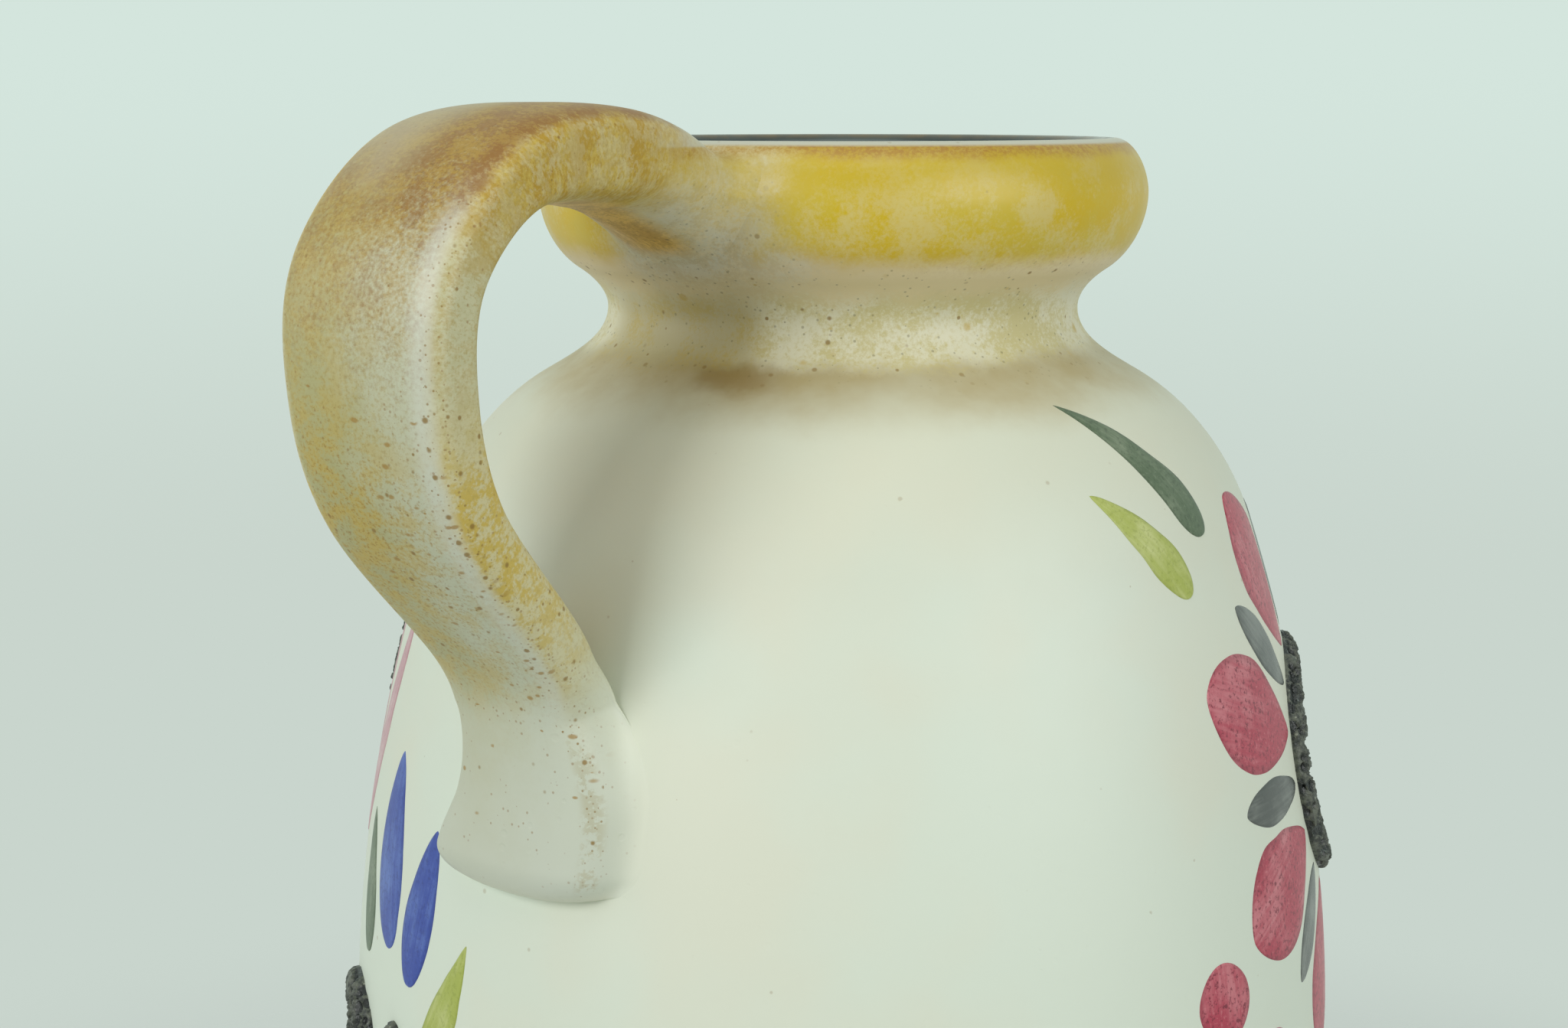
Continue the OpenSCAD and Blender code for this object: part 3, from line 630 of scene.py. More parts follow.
def strap_material():
    """The handle: brown over the bend, ochre on the sides and the far edge, breaking to pale grey on its
    near edge, paler and speckled towards the toe, and the body's own glaze where its ends run out."""
    material, s = new_material("strap_glaze")
    place = s.place()
    along = s.note("strap_along")
    rise = s.note("strap_rise")
    across = s.note("strap_across")
    on_skin = s.note("strap_place", "Vector")
    drift = s.sway(s.cloud(place, 16.0, 4.0, 0.65))
    run = s.plus(along, s.times(drift, 0.12))
    aside = s.plus(s.maths("ABSOLUTE", across, 0.0), s.times(drift, 0.2))
    sides = s.step(s.minus(aside, s.step(rise, 0.0, -0.5, 0.8, 0.42)), 0.0, 0.12)
    under = s.step(rise, -0.88, -0.985)
    outer = s.step(rise, 0.3, 0.8)
    ridge = s.step(s.maths("MINIMUM", across, rise), 0.62, 0.81)

    # Straw and olive grain on a pale ground
    ochre, ochre_grain = mottle(s, on_skin, 6.0, 0.5, 0.8)
    brown = mottle(s, s.moved(on_skin, (41, 9, 0)), 7.0, 0.5, 0.85)[0]
    bloom, bloom_grain = mottle(s, s.moved(on_skin, (11, 29, 5)), 3.2, 0.5, 0.7)
    grain = s.step(ochre_grain, 0.5, 0.66)
    near = s.step(s.plus(across, s.times(drift, 1.2)), -0.4, 0.75)
    middle = s.band(run, 0.5, 0.6, 0.66, 0.9)
    dry = s.step(run, 0.95, 0.68)
    warm = s.maths("ADD", s.times(middle, 0.35), s.times(s.minus(1.0, near), 0.45), clamp=True)
    ground = s.coats(
        s.lay(near, STRAP_TAN, STRAP_PALE),
        (STRAP_STRAW, warm, dry, ochre),
        (s.lay(middle, STRAP_OLIVE, STRAP_BROWN), grain, dry, s.blend(near, 0.6, 0.32)),
    )

    # Brown bend with a painted sheen on its far side, yellow flanks, a rusty sole and a painted highlight
    # along the near ridge
    ragged = s.plus(run, s.sway(bloom_grain, 0.45))
    crown = s.times(s.step(run, 0.05, 0.11), s.step(ragged, 0.54, 0.26))
    browned = s.step(brown, 0.0, 1.0, 0.4, 0.95)
    bend = s.coats(STRAP_OCHRE, (STRAP_BROWN, browned), (STRAP_DARK, grain, 0.5))
    # painted sheen on the far side of the bend
    painted_sheen = s.times(s.band(run, 0.13, 0.2, 0.26, 0.36), s.step(across, 0.3, -0.5), outer)
    high = s.step(run, 0.42, 0.28)
    flank = s.coats(
        FLANK_TAN,
        (STRAP_YELLOW, s.most(high, middle), 0.85),
        (STRAP_GOLD, brown, high, 0.85),
        (STRAP_BLOOM, bloom, s.blend(middle, 0.45, 0.75)),
        (STRAP_OCHRE, s.step(run, 0.62, 0.4), ochre, 0.45),
        (STRAP_OLIVE, grain, 0.34),
    )
    sole = s.coats(STRAP_RUST, (STRAP_BROWN, brown, 0.5), (STRAP_DARK, grain, 0.35))
    # painted highlight along the near ridge
    ridge_highlight = s.times(ridge, s.band(run, 0.27, 0.37, 0.66, 0.9), 0.48)
    patchy = s.step(brown, 0.0, 1.0, 0.35, 0.9)
    singed = s.times(ridge, s.band(run, 0.08, 0.13, 0.28, 0.36), patchy)

    # A row of specks below the near edge, and a rash of flecks above the toe
    past_low = s.minus(rise, s.step(along, 0.76, 0.86, 0.34, 0.6))
    beside = s.times(s.step(across, 0.72, 0.84), s.step(past_low, 0.0, 0.16), s.step(rise, 0.93, 0.84))
    row = s.times(beside, s.band(along, 0.28, 0.34, 0.93, 0.96))
    rash = s.times(s.band(run, 0.46, 0.6, 0.76, 0.92), s.step(near, 0.1, 0.6, 0.5, 1.0))
    stained = s.times(row, s.step(along, 0.8, 0.86), s.step(bloom, 0.2, 0.9), 0.3)
    share = s.plus(s.times(rash, 0.4), s.times(row, 0.4), 0.05)
    fines = specks(s, s.moved(place, (1, 9, 4)), 0.8, s.times(row, 0.6))
    flecks = specks(s, s.moved(on_skin, (3, 5, 0), (0.55, 1.0, 1.0)), 1.7, s.times(rash, 0.75))
    big = specks(s, place, 2.0, share)
    small = specks(s, s.moved(place, (7, 2, 5)), 1.0, s.plus(share, 0.2))
    colour = s.coats(
        ground,
        (bend, outer, crown, s.step(near, 0.0, 0.6, 0.8, 0.95)),
        # painted sheen on the far side of the bend
        (STRAP_SHEEN, painted_sheen, 0.6),
        (flank, sides, s.step(run, 0.88, 0.64)),
        (sole, under, dry),
        # painted highlight along the near ridge
        (STRAP_RIDGE_HIGHLIGHT, ridge_highlight),
        (STRAP_BROWN, singed),
        (TOE_PALE, s.step(run, 0.66, 0.93, 0.0, 0.85)),
        (STRAP_OLIVE, stained),
        (SPECK_BROWN, fines, 0.7),
        (STRAP_FLECK, flecks, outer, 0.75),
        (STRAP_BROWN, small, s.step(along, 0.97, 0.9), 0.5),
        (SPECK_BROWN, big, s.step(along, 0.98, 0.94), 0.85),
        (TOE_CREAM, s.step(along, 0.93, 0.985)),
    )

    # The body's glaze runs on over both ends
    own = s.most(s.step(run, 0.06, 0.13), s.times(under, s.step(along, 0.5, 0.4)))
    own = s.times(own, s.step(s.note("strap_hem"), 0.8, 0.0))
    colour = s.lay(own, s.use(BODY_GLAZES, {"Place": place})["Colour"], colour)
    gloss = s.plus(s.sway(ochre_grain, 0.2), 0.46)
    finish_material(s, colour, gloss, fired_skin(s, place, 0.5), 0.08)
    return material


def inner_material():
    """Dark glossy glaze poured inside, browner where it thins over the lip."""
    material, s = new_material("dark_poured_glaze")
    place = s.place()
    z = s.parts(place)[2]
    thin = s.times(s.step(z, BODY_H - 1.2, BODY_H - 0.1), s.step(s.cloud(place, 4.0), 0.35, 0.65, 0.4, 0.9))
    dark = s.lay(s.step(s.cloud(place, 18.0, 4.0), 0.35, 0.7), "2b3838", "45524f")
    gloss = s.step(s.cloud(place, 6.0), 0.3, 0.7, 0.1, 0.22)
    finish_material(s, s.lay(thin, dark, "6d5a35"), gloss, fired_skin(s, place, 0.1), 0.05)
    return material


def lava_material():
    """Black foamed glaze: glossy dark pits between grey-green skins, with pale flecks."""
    material, s = new_material("lava_glaze")
    place = s.place()
    pit = s.note("pit")
    skins = s.step(s.cloud(place, 1.3, 4.0, 0.65), 0.36, 0.62)
    flecks = s.times(specks(s, place, 1.1, 0.25), s.step(pit, 0.6, 0.2), 0.65)
    colour = s.coats("262a25", ("626659", skins), ("0c0e0c", s.step(pit, 0.2, 0.7)), ("a4a998", flecks))
    gloss = s.step(pit, 0.2, 0.6, 0.42, 0.1)
    foam = s.plus(s.cloud(place, 0.55), s.times(s.cloud(place, 1.2, 2.0), 0.8))
    finish_material(s, colour, gloss, foam, 0.25)
    return material


def brushed_coat_group():
    """A brush's drag through wet enamel: streaks along the stroke, pigment grains, and a darker pooled edge.
    Brush is [millimetres across, millimetres along, share of the half width]."""
    s, entry, give = new_group("Brushed coat", ["Brush", "Place"], ["Streaks", "Grain", "Pool"])
    share = s.parts(entry["Brush"])[2]
    streaks = s.cloud(s.moved(entry["Brush"], (0, 0, 0), (1, 0.07, 0)), 1.1, 3.0, 0.6, 0.3)
    grain = s.cloud(entry["Place"], 0.85, 3.0, 0.7)
    pool = s.step(s.maths("ABSOLUTE", share, 0.0), 0.78, 0.98)
    return give(Streaks=streaks, Grain=grain, Pool=pool)


BRUSHED_COAT = brushed_coat_group()


def enamel_material(name, body, deep, pale, grains, gloss=0.36):
    """One brushed colour: paler where the brush dragged thin, deeper where the enamel pooled."""
    material, s = new_material(name)
    place = s.place()
    coat = s.use(BRUSHED_COAT, {"Brush": s.note("brush", "Vector"), "Place": place})
    thin = s.plus(s.times(coat["Streaks"], 0.45), s.times(s.cloud(place, 11.0), 0.85))
    colour = s.coats(
        body,
        (pale, s.step(thin, 0.56, 0.9)),
        (deep, coat["Pool"], 0.42),
        (deep, s.step(coat["Grain"], 0.53, 0.64), grains),
        (pale, s.step(coat["Grain"], 0.42, 0.32), grains * 0.6),
    )
    height = s.plus(s.times(coat["Streaks"], 0.6), s.times(coat["Grain"], 0.5))
    finish_material(s, colour, gloss, height, 0.05)
    return material


def slip_material():
    """Dried luting slip: matt, grainy, with faint cloudy patches."""
    material, s = new_material("luting_slip")
    place = s.place()
    colour = s.lay(s.step(s.cloud(place, 5.0), 0.35, 0.65), "d8caa8", "c4b48f")
    finish_material(s, colour, 0.85, s.cloud(place, 0.5), 0.08)
    return material


# Pieces


def settle(piece, slot, material, *nodes):
    """Gives a finished piece its glaze and puts it on the vase in place of its plain solid."""
    piece.data.materials.append(material)
    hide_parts(*nodes)
    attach(piece, "root")


TURNS = 320


def body_piece():
    ring_in = FOOT_R - FOOT_RING_W
    recess_r = ring_in - FOOT_RECESS
    foot = [
        [10, FOOT_RECESS],
        [recess_r - 2, FOOT_RECESS],
        [recess_r - 0.5, FOOT_RECESS - 0.1],
        [recess_r + 0.2, FOOT_RECESS - 0.5],
        [ring_in - 0.6, 0.4],
        [ring_in - 0.1, 0.05],
        [ring_in + 0.5, 0],
        [FOOT_R - FOOT_BEVEL - 0.6, 0],
    ]
    bevel = [
        [FOOT_R - FOOT_BEVEL * (1 - math.sin(a)), FOOT_BEVEL * (1 - math.cos(a))]
        for a in np.radians(range(0, 90, 15))
    ]
    under_glaze = INNER_LINE + (GLAZE_T + BOND_GAP) * left_of(INNER_LINE)
    profile = np.concatenate([foot, bevel, OUTER_LINE, under_glaze[1::3]])
    return loft("vase_body", [turned(profile, TURNS)])


def inner_piece():
    under = INNER_LINE + GLAZE_T * left_of(INNER_LINE)
    under[0] = [LIP_R, BODY_H - GLAZE_T]
    return loft("poured_glaze", [turned(np.concatenate([INNER_LINE[::-1], under]), TURNS // 2)])


# The strap: widths and thicknesses by the share of its length, and the path of its middle
HANDLE_ANGLE = 180
HANDLE_REACH = 119
STRAP_TOP = BODY_H - 2.5
UPPER_Z = BODY_H - 12
LOWER_Z = 191
WAIST_Z = LOWER_Z + 13
STRAP_SQUARE = 3.8
STRAP_WIDTHS = ([0, 0.4, 0.62, 0.875, 1], [36, 34.6, 33.2, 24, 43.5])
STRAP_THICKS = ([0, 0.08, 0.13, 0.19, 0.25, 0.35, 0.75, 1], [17, 16.6, 16.2, 15.8, 14, 12.5, 12.5, 13])
NEAR_FLARE = ([0, 0.78, 0.84, 0.9, 1], [0, 0, 0.2, 2, 4])
LAW_REACH = 0.06
STRAP_PATH = with_ends([
    [body_r(UPPER_Z), UPPER_Z + 2.5],
    [RIM_R + 19.5, STRAP_TOP + 0.2],
    [HANDLE_REACH - 19, STRAP_TOP - 0.8],
    [HANDLE_REACH - 3, STRAP_TOP - 14.5],
    [HANDLE_REACH, STRAP_TOP - 32],
    [HANDLE_REACH - 6, STRAP_TOP - 53],
    [body_r(WAIST_Z) + 7.5, WAIST_Z + 15],
    [body_r(WAIST_Z) + 3.5, WAIST_Z],
    [body_r(LOWER_Z), LOWER_Z],
])
STRAP_COLS = 144
COLS_TO_CORNERS = 0.3
FREE_ROWS = 150
LANDING_ROWS = 30
TOE_ROWS = 48
RIM_LANDING = 0.08
TOE_LANDING = 0.19
NUDGE = 0.01

# Its underside: rounder at the rim, and thinner on the far side of the bend
SOLE_SQUARE = 2
SOLE_FROM = 0.05
SOLE_RUN = 0.15
FAR_THIN = 0.4
FAR_THIN_TO = 0.36
FAR_THIN_RUN = 0.2

# Its foot on the rim: half widths at the top and on both sides, and how far it goes up and down
RIM_FOOT = {"top": 22.5, "far": 13.5, "near": 19.5, "up": 9.2, "down": 12.5}
RIM_FOOT_AT = [HANDLE_ANGLE, UPPER_Z + 2.5]
RIM_FOOT_SQUARE = 2.6
RIM_FOOT_CREST = 4
RIM_SINK = 0.2
RIM_DRAWN_IN = 0.68
RIM_DRAWN_LIFT = 0.4
RIM_RUN_OUT = 0.035

# Its toe on the wall: half widths and how far it stands out by height
TOE_BOTTOM = LOWER_Z - 13
TOE_ROLL = 7
TOE_FILLET_FAR = 2.5
TOE_FILLET_NEAR = 5.5
TOE_SQUARE = 4.2
TOE_SAG = 1.6
TOE_PACE = 0.9
TOE_SETTLED = 0.34
TOE_LEVELS = [178, 181, 185, 189, 194, 199, 204, 207, 210, 214, 224]
TOE_FAR = (TOE_LEVELS, [17.5, 19.6, 18.8, 16.6, 13.6, 11.6, 11.2, 11.2, 11.4, 12, 14])
TOE_NEAR = (TOE_LEVELS, [14, 16.2, 17, 17.2, 17.2, 17, 16.6, 16, 15.2, 13.8, 12.6])
TOE_STANDS = ([178, 185, 196, 204, 212, 224], [6.6, 7.0, 8.4, 9.75, 11.6, 15])
TOE_REACH = 2.5
WEB_TOP = 220
WEB_RUN = 14
WEB_SIDE = 0.6
WEB_FILLET = 1.5
STRAP_SINK = 0.3
EDGE_SINK = 0.05

# Where the body's glaze runs on over the strap's ends
HEM_ROWS = 14
HEM_TOP = WEB_TOP + 4
HEM_RUN = 26
HEM_END = 0.985


def on_strap(s):
    """The strap's middle at a share of its length."""
    count = len(STRAP_PATH) - 3
    i = min(count - 1, int(s * count))
    return smooth(*STRAP_PATH[i : i + 4], s * count - i)


def eased_law(s, law):
    """A width or thickness at a share of the length, with its corners rounded off."""
    spread = np.linspace(-LAW_REACH, LAW_REACH, 13)
    return np.interp(np.clip(s + spread, 0, 1), *law).mean()


AROUND = np.arange(STRAP_COLS) / STRAP_COLS * 2 * math.pi
AROUND = AROUND - COLS_TO_CORNERS * np.sin(2 * AROUND)


def boxy(values, squareness=STRAP_SQUARE):
    return np.sign(values) * np.abs(values) ** (2 / squareness)


COS = np.cos(AROUND)
SIN = np.sin(AROUND)
ACROSS = boxy(COS)
RISE = boxy(SIN)
PROUD = np.clip(boxy(SIN, TOE_SQUARE), 0, 1)
NEAR_SIDE = ACROSS > 0
TOP_SIDE = RISE > 0


def free_ring(s):
    """The strap's section away from its ends."""
    run = on_strap(min(1, s + NUDGE)) - on_strap(max(0, s - NUDGE))
    out = np.array([-run[1], run[0]]) / np.linalg.norm(run)
    half = eased_law(s, STRAP_WIDTHS) / 2 + np.where(NEAR_SIDE, eased_law(s, NEAR_FLARE), 0)
    soft = SOLE_SQUARE + (STRAP_SQUARE - SOLE_SQUARE) * eased((s - SOLE_FROM) / SOLE_RUN)
    across = np.where(TOP_SIDE, ACROSS, boxy(COS, soft)) * half
    thin = 1 - FAR_THIN * eased((FAR_THIN_TO - s) / FAR_THIN_RUN) * eased(-ACROSS)
    rise = np.where(TOP_SIDE, RISE, boxy(SIN, soft) * thin) * eased_law(s, STRAP_THICKS) / 2
    spot = on_strap(s) + out * rise[:, None]
    return np.stack([-spot[:, 0], -across, spot[:, 1]], -1)


def landing(foot, near_foot, near_strap, strap, rows):
    """Rings that run from a foot on the wall up to the strap along smooth curves."""
    rings = []
    for t in np.linspace(0, 1, rows):
        rings.append(
            (1 - t) ** 3 * foot + 3 * (1 - t) ** 2 * t * near_foot
            + 3 * (1 - t) * t**2 * near_strap + t**3 * strap
        )
    return rings


def not_below_wall(ring, sink):
    """Points under the wall's surface, moved out to just below it."""
    r = np.linalg.norm(ring[:, :2], axis=1)
    grow = np.maximum(1, (body_r(ring[:, 2]) - sink) / r)
    return np.concatenate([ring[:, :2] * grow[:, None], ring[:, 2:]], 1)


def webbed(ring, settled):
    """The near side of a section swept on to the wall where the strap comes close to it."""
    z = ring[:, 2]
    lift = np.linalg.norm(ring[:, :2], axis=1) - body_r(z)
    across = np.arctan2(-ring[:, 1], -ring[:, 0]) * body_r(z)
    web = eased((WEB_TOP - z) / WEB_RUN) * eased(ACROSS / WEB_SIDE)
    hold = web * np.where(TOP_SIDE, (1 - PROUD) ** 2, 1)
    lift = lift - hold * (lift + EDGE_SINK)
    across = across + hold * (1 - settled) * WEB_FILLET
    return over_body([HANDLE_ANGLE, 0], np.stack([across, z], 1), lift)


def toe_ring(z):
    """The toe's section at a height: a flat face on rounded sides that sweep out on to the wall."""
    spread = np.linspace(-TOE_REACH, TOE_REACH, 9)
    far, near, stand = (np.interp(z + spread, *law).mean() for law in (TOE_FAR, TOE_NEAR, TOE_STANDS))
    wide = np.where(NEAR_SIDE, near, far)
    down = np.clip((TOE_BOTTOM + TOE_ROLL - z) / TOE_ROLL, 0, 1)
    lift = np.where(TOP_SIDE, stand * math.sqrt(1 - down**2) * PROUD**2 * (2 - PROUD), -STRAP_SINK)
    lift = np.where(np.abs(RISE) < 1e-6, -EDGE_SINK, lift)
    fillet = np.where(NEAR_SIDE, TOE_FILLET_NEAR, -TOE_FILLET_FAR)
    across = boxy(COS, TOE_SQUARE) * wide + fillet * (1 - PROUD) ** 2
    sag = TOE_SAG * down * (across / wide) ** 2
    return over_body([HANDLE_ANGLE, z], np.stack([across, sag], 1), lift)


def rim_rings():
    """The strap's upper end, spread on to the rim."""
    low_half = np.where(NEAR_SIDE, RIM_FOOT["near"], RIM_FOOT["far"])
    upper = eased((SIN + 0.5) / 0.8)
    wide = low_half + (RIM_FOOT["top"] - low_half) * upper
    crest = boxy(SIN, RIM_FOOT_CREST) * RIM_FOOT["up"]
    tall = np.where(TOP_SIDE, crest, SIN * RIM_FOOT["down"])
    drawn = np.stack([boxy(COS, RIM_FOOT_SQUARE) * wide, tall], 1)
    first = free_ring(RIM_LANDING)
    first_run = (free_ring(RIM_LANDING + NUDGE) - first) / NUDGE
    return landing(
        over_body(RIM_FOOT_AT, drawn, -RIM_SINK),
        over_body(RIM_FOOT_AT, drawn * RIM_DRAWN_IN, RIM_DRAWN_LIFT),
        first - first_run * RIM_RUN_OUT,
        first,
        LANDING_ROWS,
    )


def strap_piece():
    """The strap with both ends spread on to the rim and the wall."""
    shares = np.linspace(RIM_LANDING, 1 - TOE_LANDING, FREE_ROWS)
    t = np.linspace(0, 1, TOE_ROWS + 1)[1:]
    toe_shares = 1 - TOE_LANDING * (1 - t)
    top = on_strap(1 - TOE_LANDING)[1]
    toe_heights = top + (TOE_BOTTOM - top) * np.sin(t * math.pi / 2) ** TOE_PACE
    lower = []
    for share, z, part in zip(toe_shares, toe_heights, t):
        settled = eased(part / TOE_SETTLED)
        lower.append(webbed((1 - settled) * free_ring(share) + settled * toe_ring(z), settled))
    rings = rim_rings()[:-1] + [webbed(free_ring(s), 0) for s in shares] + lower
    rings = np.array([not_below_wall(ring, STRAP_SINK) for ring in rings])
    along = np.concatenate([np.linspace(0, RIM_LANDING, LANDING_ROWS)[:-1], shares, toe_shares])[:, None]
    at_rim = eased(1 - np.arange(len(along)) / HEM_ROWS)[:, None]
    at_wall = eased((HEM_TOP - rings[..., 2]) / HEM_RUN) * np.clip(1 - RISE, 0, 1) ** 2
    at_end = eased((along - HEM_END) / (1 - HEM_END))
    length = lengths(rings[:, STRAP_COLS // 4])[:, None]
    under = STRAP_COLS * 3 // 4
    girth = np.roll(lengths(np.roll(free_ring(0.5), -under, axis=0)), under)
    spread = np.stack([girth + 0 * length, length + 0 * girth, 0 * (length + girth)], -1)
    notes = {
        "strap_along": [along + 0 * RISE],
        "strap_rise": [RISE + 0 * along],
        "strap_across": [ACROSS + 0 * along],
        "strap_hem": [np.maximum(at_rim, np.maximum(at_wall, at_end))],
        "strap_place": [spread],
    }
    return loft("strap", [rings], notes)


# Levels of a pad of slip: [share of its size, lift]
SLIP_LEVELS = [[0.6, -0.1], [0.97, -0.1], [1, 0.1], [0.97, 0.4], [0.6, 0.5]]
SLIP_HALF_W = 11


def slip_piece(name, height, half_height):
    """A pad of luting slip between the wall and an end of the strap."""
    at = [HANDLE_ANGLE, height]
    drawn = np.stack([COS * SLIP_HALF_W, SIN * half_height], 1)
    return loft(name, [np.array([over_body(at, drawn * k, lift) for k, lift in SLIP_LEVELS])])


# Trailed lava and brushed strokes, drawn on the unrolled wall as [right, up] in millimetres
SPRAYS = {"front": [298, 186], "back": [98, 178], "side": [20, 128]}
LAVA_W = 6.4
LAVA_H = 2.4
BEAD_STEP = 4.6
FINE_STEP = 0.32
BEAD_COLS = 25
BEAD_EDGE = 0.35
BEAD_SINK = 0.3
CURL_EYE = 5.5
RING_R = 19

# A bead's swells and the fine foam on it: [height, wave, salt]
SWELLS = [[0.1, 9.0, 3], [0.07, 2.2, 4]]
FOAM = [[0.14, 1.1, 5]]

# Pores: the spacing, depth and lip's height in millimetres, and the rest as shares of the spacing
PORE_SPACING = 2.2
PORE_DEPTH = 0.85
PORE_LIP_H = 0.2
PORE_REACH = 0.4
PORE_VARIES = 0.24
PORE_MOUTH = 0.12
PORE_SLOPE = 0.26
PORE_LIP = 0.14
PORE_SALT = 11

# Pores get shallower towards a bead's edges, by this much of its dome and down to this share
PORE_FADE = 1.6
PORE_LEAST = 0.25


def curl(lead, middle, big, start, stop):
    """A lead that winds on round a middle, in to the eye of a curl."""
    count = max(8, round(abs(math.radians(stop - start)) * (big + CURL_EYE) / 2 / BEAD_STEP))
    t = np.arange(count + 1) / count
    turn = np.radians(start + (stop - start) * t)
    r = (big + (CURL_EYE - big) * t)[:, None]
    wound = np.array(middle) + r * np.stack([np.cos(turn), np.sin(turn)], 1)
    return np.concatenate([smooth_line(lead, BEAD_STEP), wound])


def outward(rings):
    """Normals of a grid of points over the wall, away from the vase's axis."""
    along = np.gradient(rings, axis=0)
    round_it = np.gradient(rings, axis=1)
    normal = np.cross(round_it, along)
    normal /= np.linalg.norm(normal, axis=-1, keepdims=True) + 1e-9
    return normal * np.sign((normal * rings * [1, 1, 0]).sum(-1, keepdims=True) + 1e-9)


def rooted(spray, spots, rings, sink):
    """Rings with both their edges carried down into the wall."""
    left, right = (over_body(spray, spots[:, c], -sink)[:, None] for c in (0, -1))
    return np.concatenate([left, rings, right], 1)


def uneven(points, kinds):
    """Ripples of several kinds added up."""
    return sum(height * ripple(points, wave, salt) for height, wave, salt in kinds)


def bead_rings(spray, drawn):
    """A trailed bead with foamed pores, and how deep in a pore each point is."""
    line = smooth_line(drawn, FINE_STEP)
    gone = lengths(line)
    to_end = np.minimum(gone, gone[-1] - gone) / (LAVA_W * 0.5)
    full = np.sqrt(np.clip(1 - (1 - np.clip(to_end, 0, 1)) ** 2, 0.01, 1))[:, None]
    v = -np.cos(np.linspace(0, math.pi, BEAD_COLS))
    domed = np.sqrt(np.clip(1 - v**2, 0, 1))
    flat = np.concatenate([line, 0 * line[:, :1]], 1)
    swell = 1 + uneven(flat, SWELLS)[:, None]
    wide = v * LAVA_W / 2 * full * swell
    spots = line[:, None] + left_of(line)[:, None] * wide[..., None]
    rings = over_body(spray, spots, BEAD_EDGE + (LAVA_H - BEAD_EDGE) * domed * full * swell)
    near, own = nearest_pore(rings, PORE_SPACING, PORE_SALT)
    reach = PORE_REACH + PORE_VARIES * own
    pit = eased((reach + PORE_MOUTH - near) / PORE_SLOPE)
    lip = eased(1 - np.abs(near - reach - PORE_LIP) / PORE_LIP)
    body = np.clip(domed * PORE_FADE, PORE_LEAST, 1) * full
    push = (PORE_LIP_H * lip - PORE_DEPTH * pit) * body + uneven(rings, FOAM)
    rings = rings + outward(rings) * push[..., None]
    return rooted(spray, spots, rings, BEAD_SINK), np.pad(pit, ((0, 0), (1, 1)))


# A brushed stroke: its grid, how its edges waver, and how thick it lies
STROKE_ROWS = 56
STROKE_COLS = 17
STROKE_TIP = 0.03
LEAST_BEND = 0.1
WAVER = 0.35
WAVER_LENGTH = 5.0
WAVER_SALT = 21
STROKE_CROWN = 0.35
ENAMEL_T = 0.15
THIN_UNDER = 1.5
THIN_LEAST = 0.15
STROKE_LIFT = 0.02
STROKE_SINK = 0.2

# How far apart strokes, and a stroke's two sides, are in the noise that they take
STROKES_APART = 9.0
SIDES_APART = 50.0
BRUSH_APART = [37.0, 53.0]


def stroke_rings(spray, stroke, number):
    """A brushed stroke as a thin dome, and its brush values. A stroke is [right, up, heading, length,
    width, bend, fullness, roundness]; a fullness under 1 puts its widest place nearer its start."""
    x, y, heading, length, width, bend, fullness, roundness = stroke
    s = (1 - np.cos(np.linspace(STROKE_TIP, math.pi - STROKE_TIP, STROKE_ROWS))) / 2
    turn = math.radians(bend if abs(bend) > LEAST_BEND else LEAST_BEND)
    bow = length / turn
    head = math.radians(heading)
    a = head + turn * s
    middle = np.stack([x + bow * (np.sin(a) - math.sin(head)), y - bow * (np.cos(a) - math.cos(head))], 1)
    side = np.stack([-np.sin(a), np.cos(a)], 1)
    half = (width / 2 * np.sin(math.pi * s**fullness) ** roundness)[:, None]
    v = np.linspace(-1, 1, STROKE_COLS)
    at = np.stack([middle[:, 0], middle[:, 1], np.full(STROKE_ROWS, number * STROKES_APART)], 1)
    left, right = (ripple(at + shift, WAVER_LENGTH, WAVER_SALT)[:, None] for shift in (0.0, SIDES_APART))
    waver = WAVER * np.where(v < 0, left, right)
    spread = half * v + waver * np.abs(v) * np.minimum(half, 1)
    spots = middle[:, None] + side[:, None] * spread[..., None]
    crown = np.clip(1 - v**2, 0, 1) ** STROKE_CROWN * np.clip(half / THIN_UNDER, THIN_LEAST, 1)
    rings = over_body(spray, spots, STROKE_LIFT + ENAMEL_T * crown)
    gone = length * s[:, None] + 0 * v
    brush = np.stack([spread + number * BRUSH_APART[0], gone + number * BRUSH_APART[1], v + 0 * spread], -1)
    return rooted(spray, spots, rings, STROKE_SINK), np.pad(brush, ((0, 0), (1, 1), (0, 0)), "edge")


def laid_piece(name, note, made):
    """One piece of several beads or strokes, each with its note."""
    return loft(name, [rings for rings, _ in made], {note: [values for _, values in made]})


PETAL_COUNT = 8
PETAL_START = RING_R + LAVA_W / 2 + 1.6
HEART_R = RING_R - LAVA_W / 2 - 1.2


def ring_strokes(turn, length, width, fullness, roundness):
    """Strokes that stand round the rosette's ring."""
    strokes = []
    for i in range(PETAL_COUNT):
        a = 90 + 360 * (i + turn) / PETAL_COUNT
        x, y = PETAL_START * direction(a)
        strokes.append([x, y, a, length, width, 0, fullness, roundness])
    return strokes


def pair(x, y, heading, length, width, bend, *shape):
    """A stroke and its mirror image."""
    mirrored = [-x, y, 180 - heading, length, width, -bend, *shape]
    return [[x, y, heading, length, width, bend, *shape], mirrored]


def ring_line():
    """The rosette's ring, trailed round from its top until it almost closes."""
    return RING_R * direction(np.linspace(92, 448, 40)).T


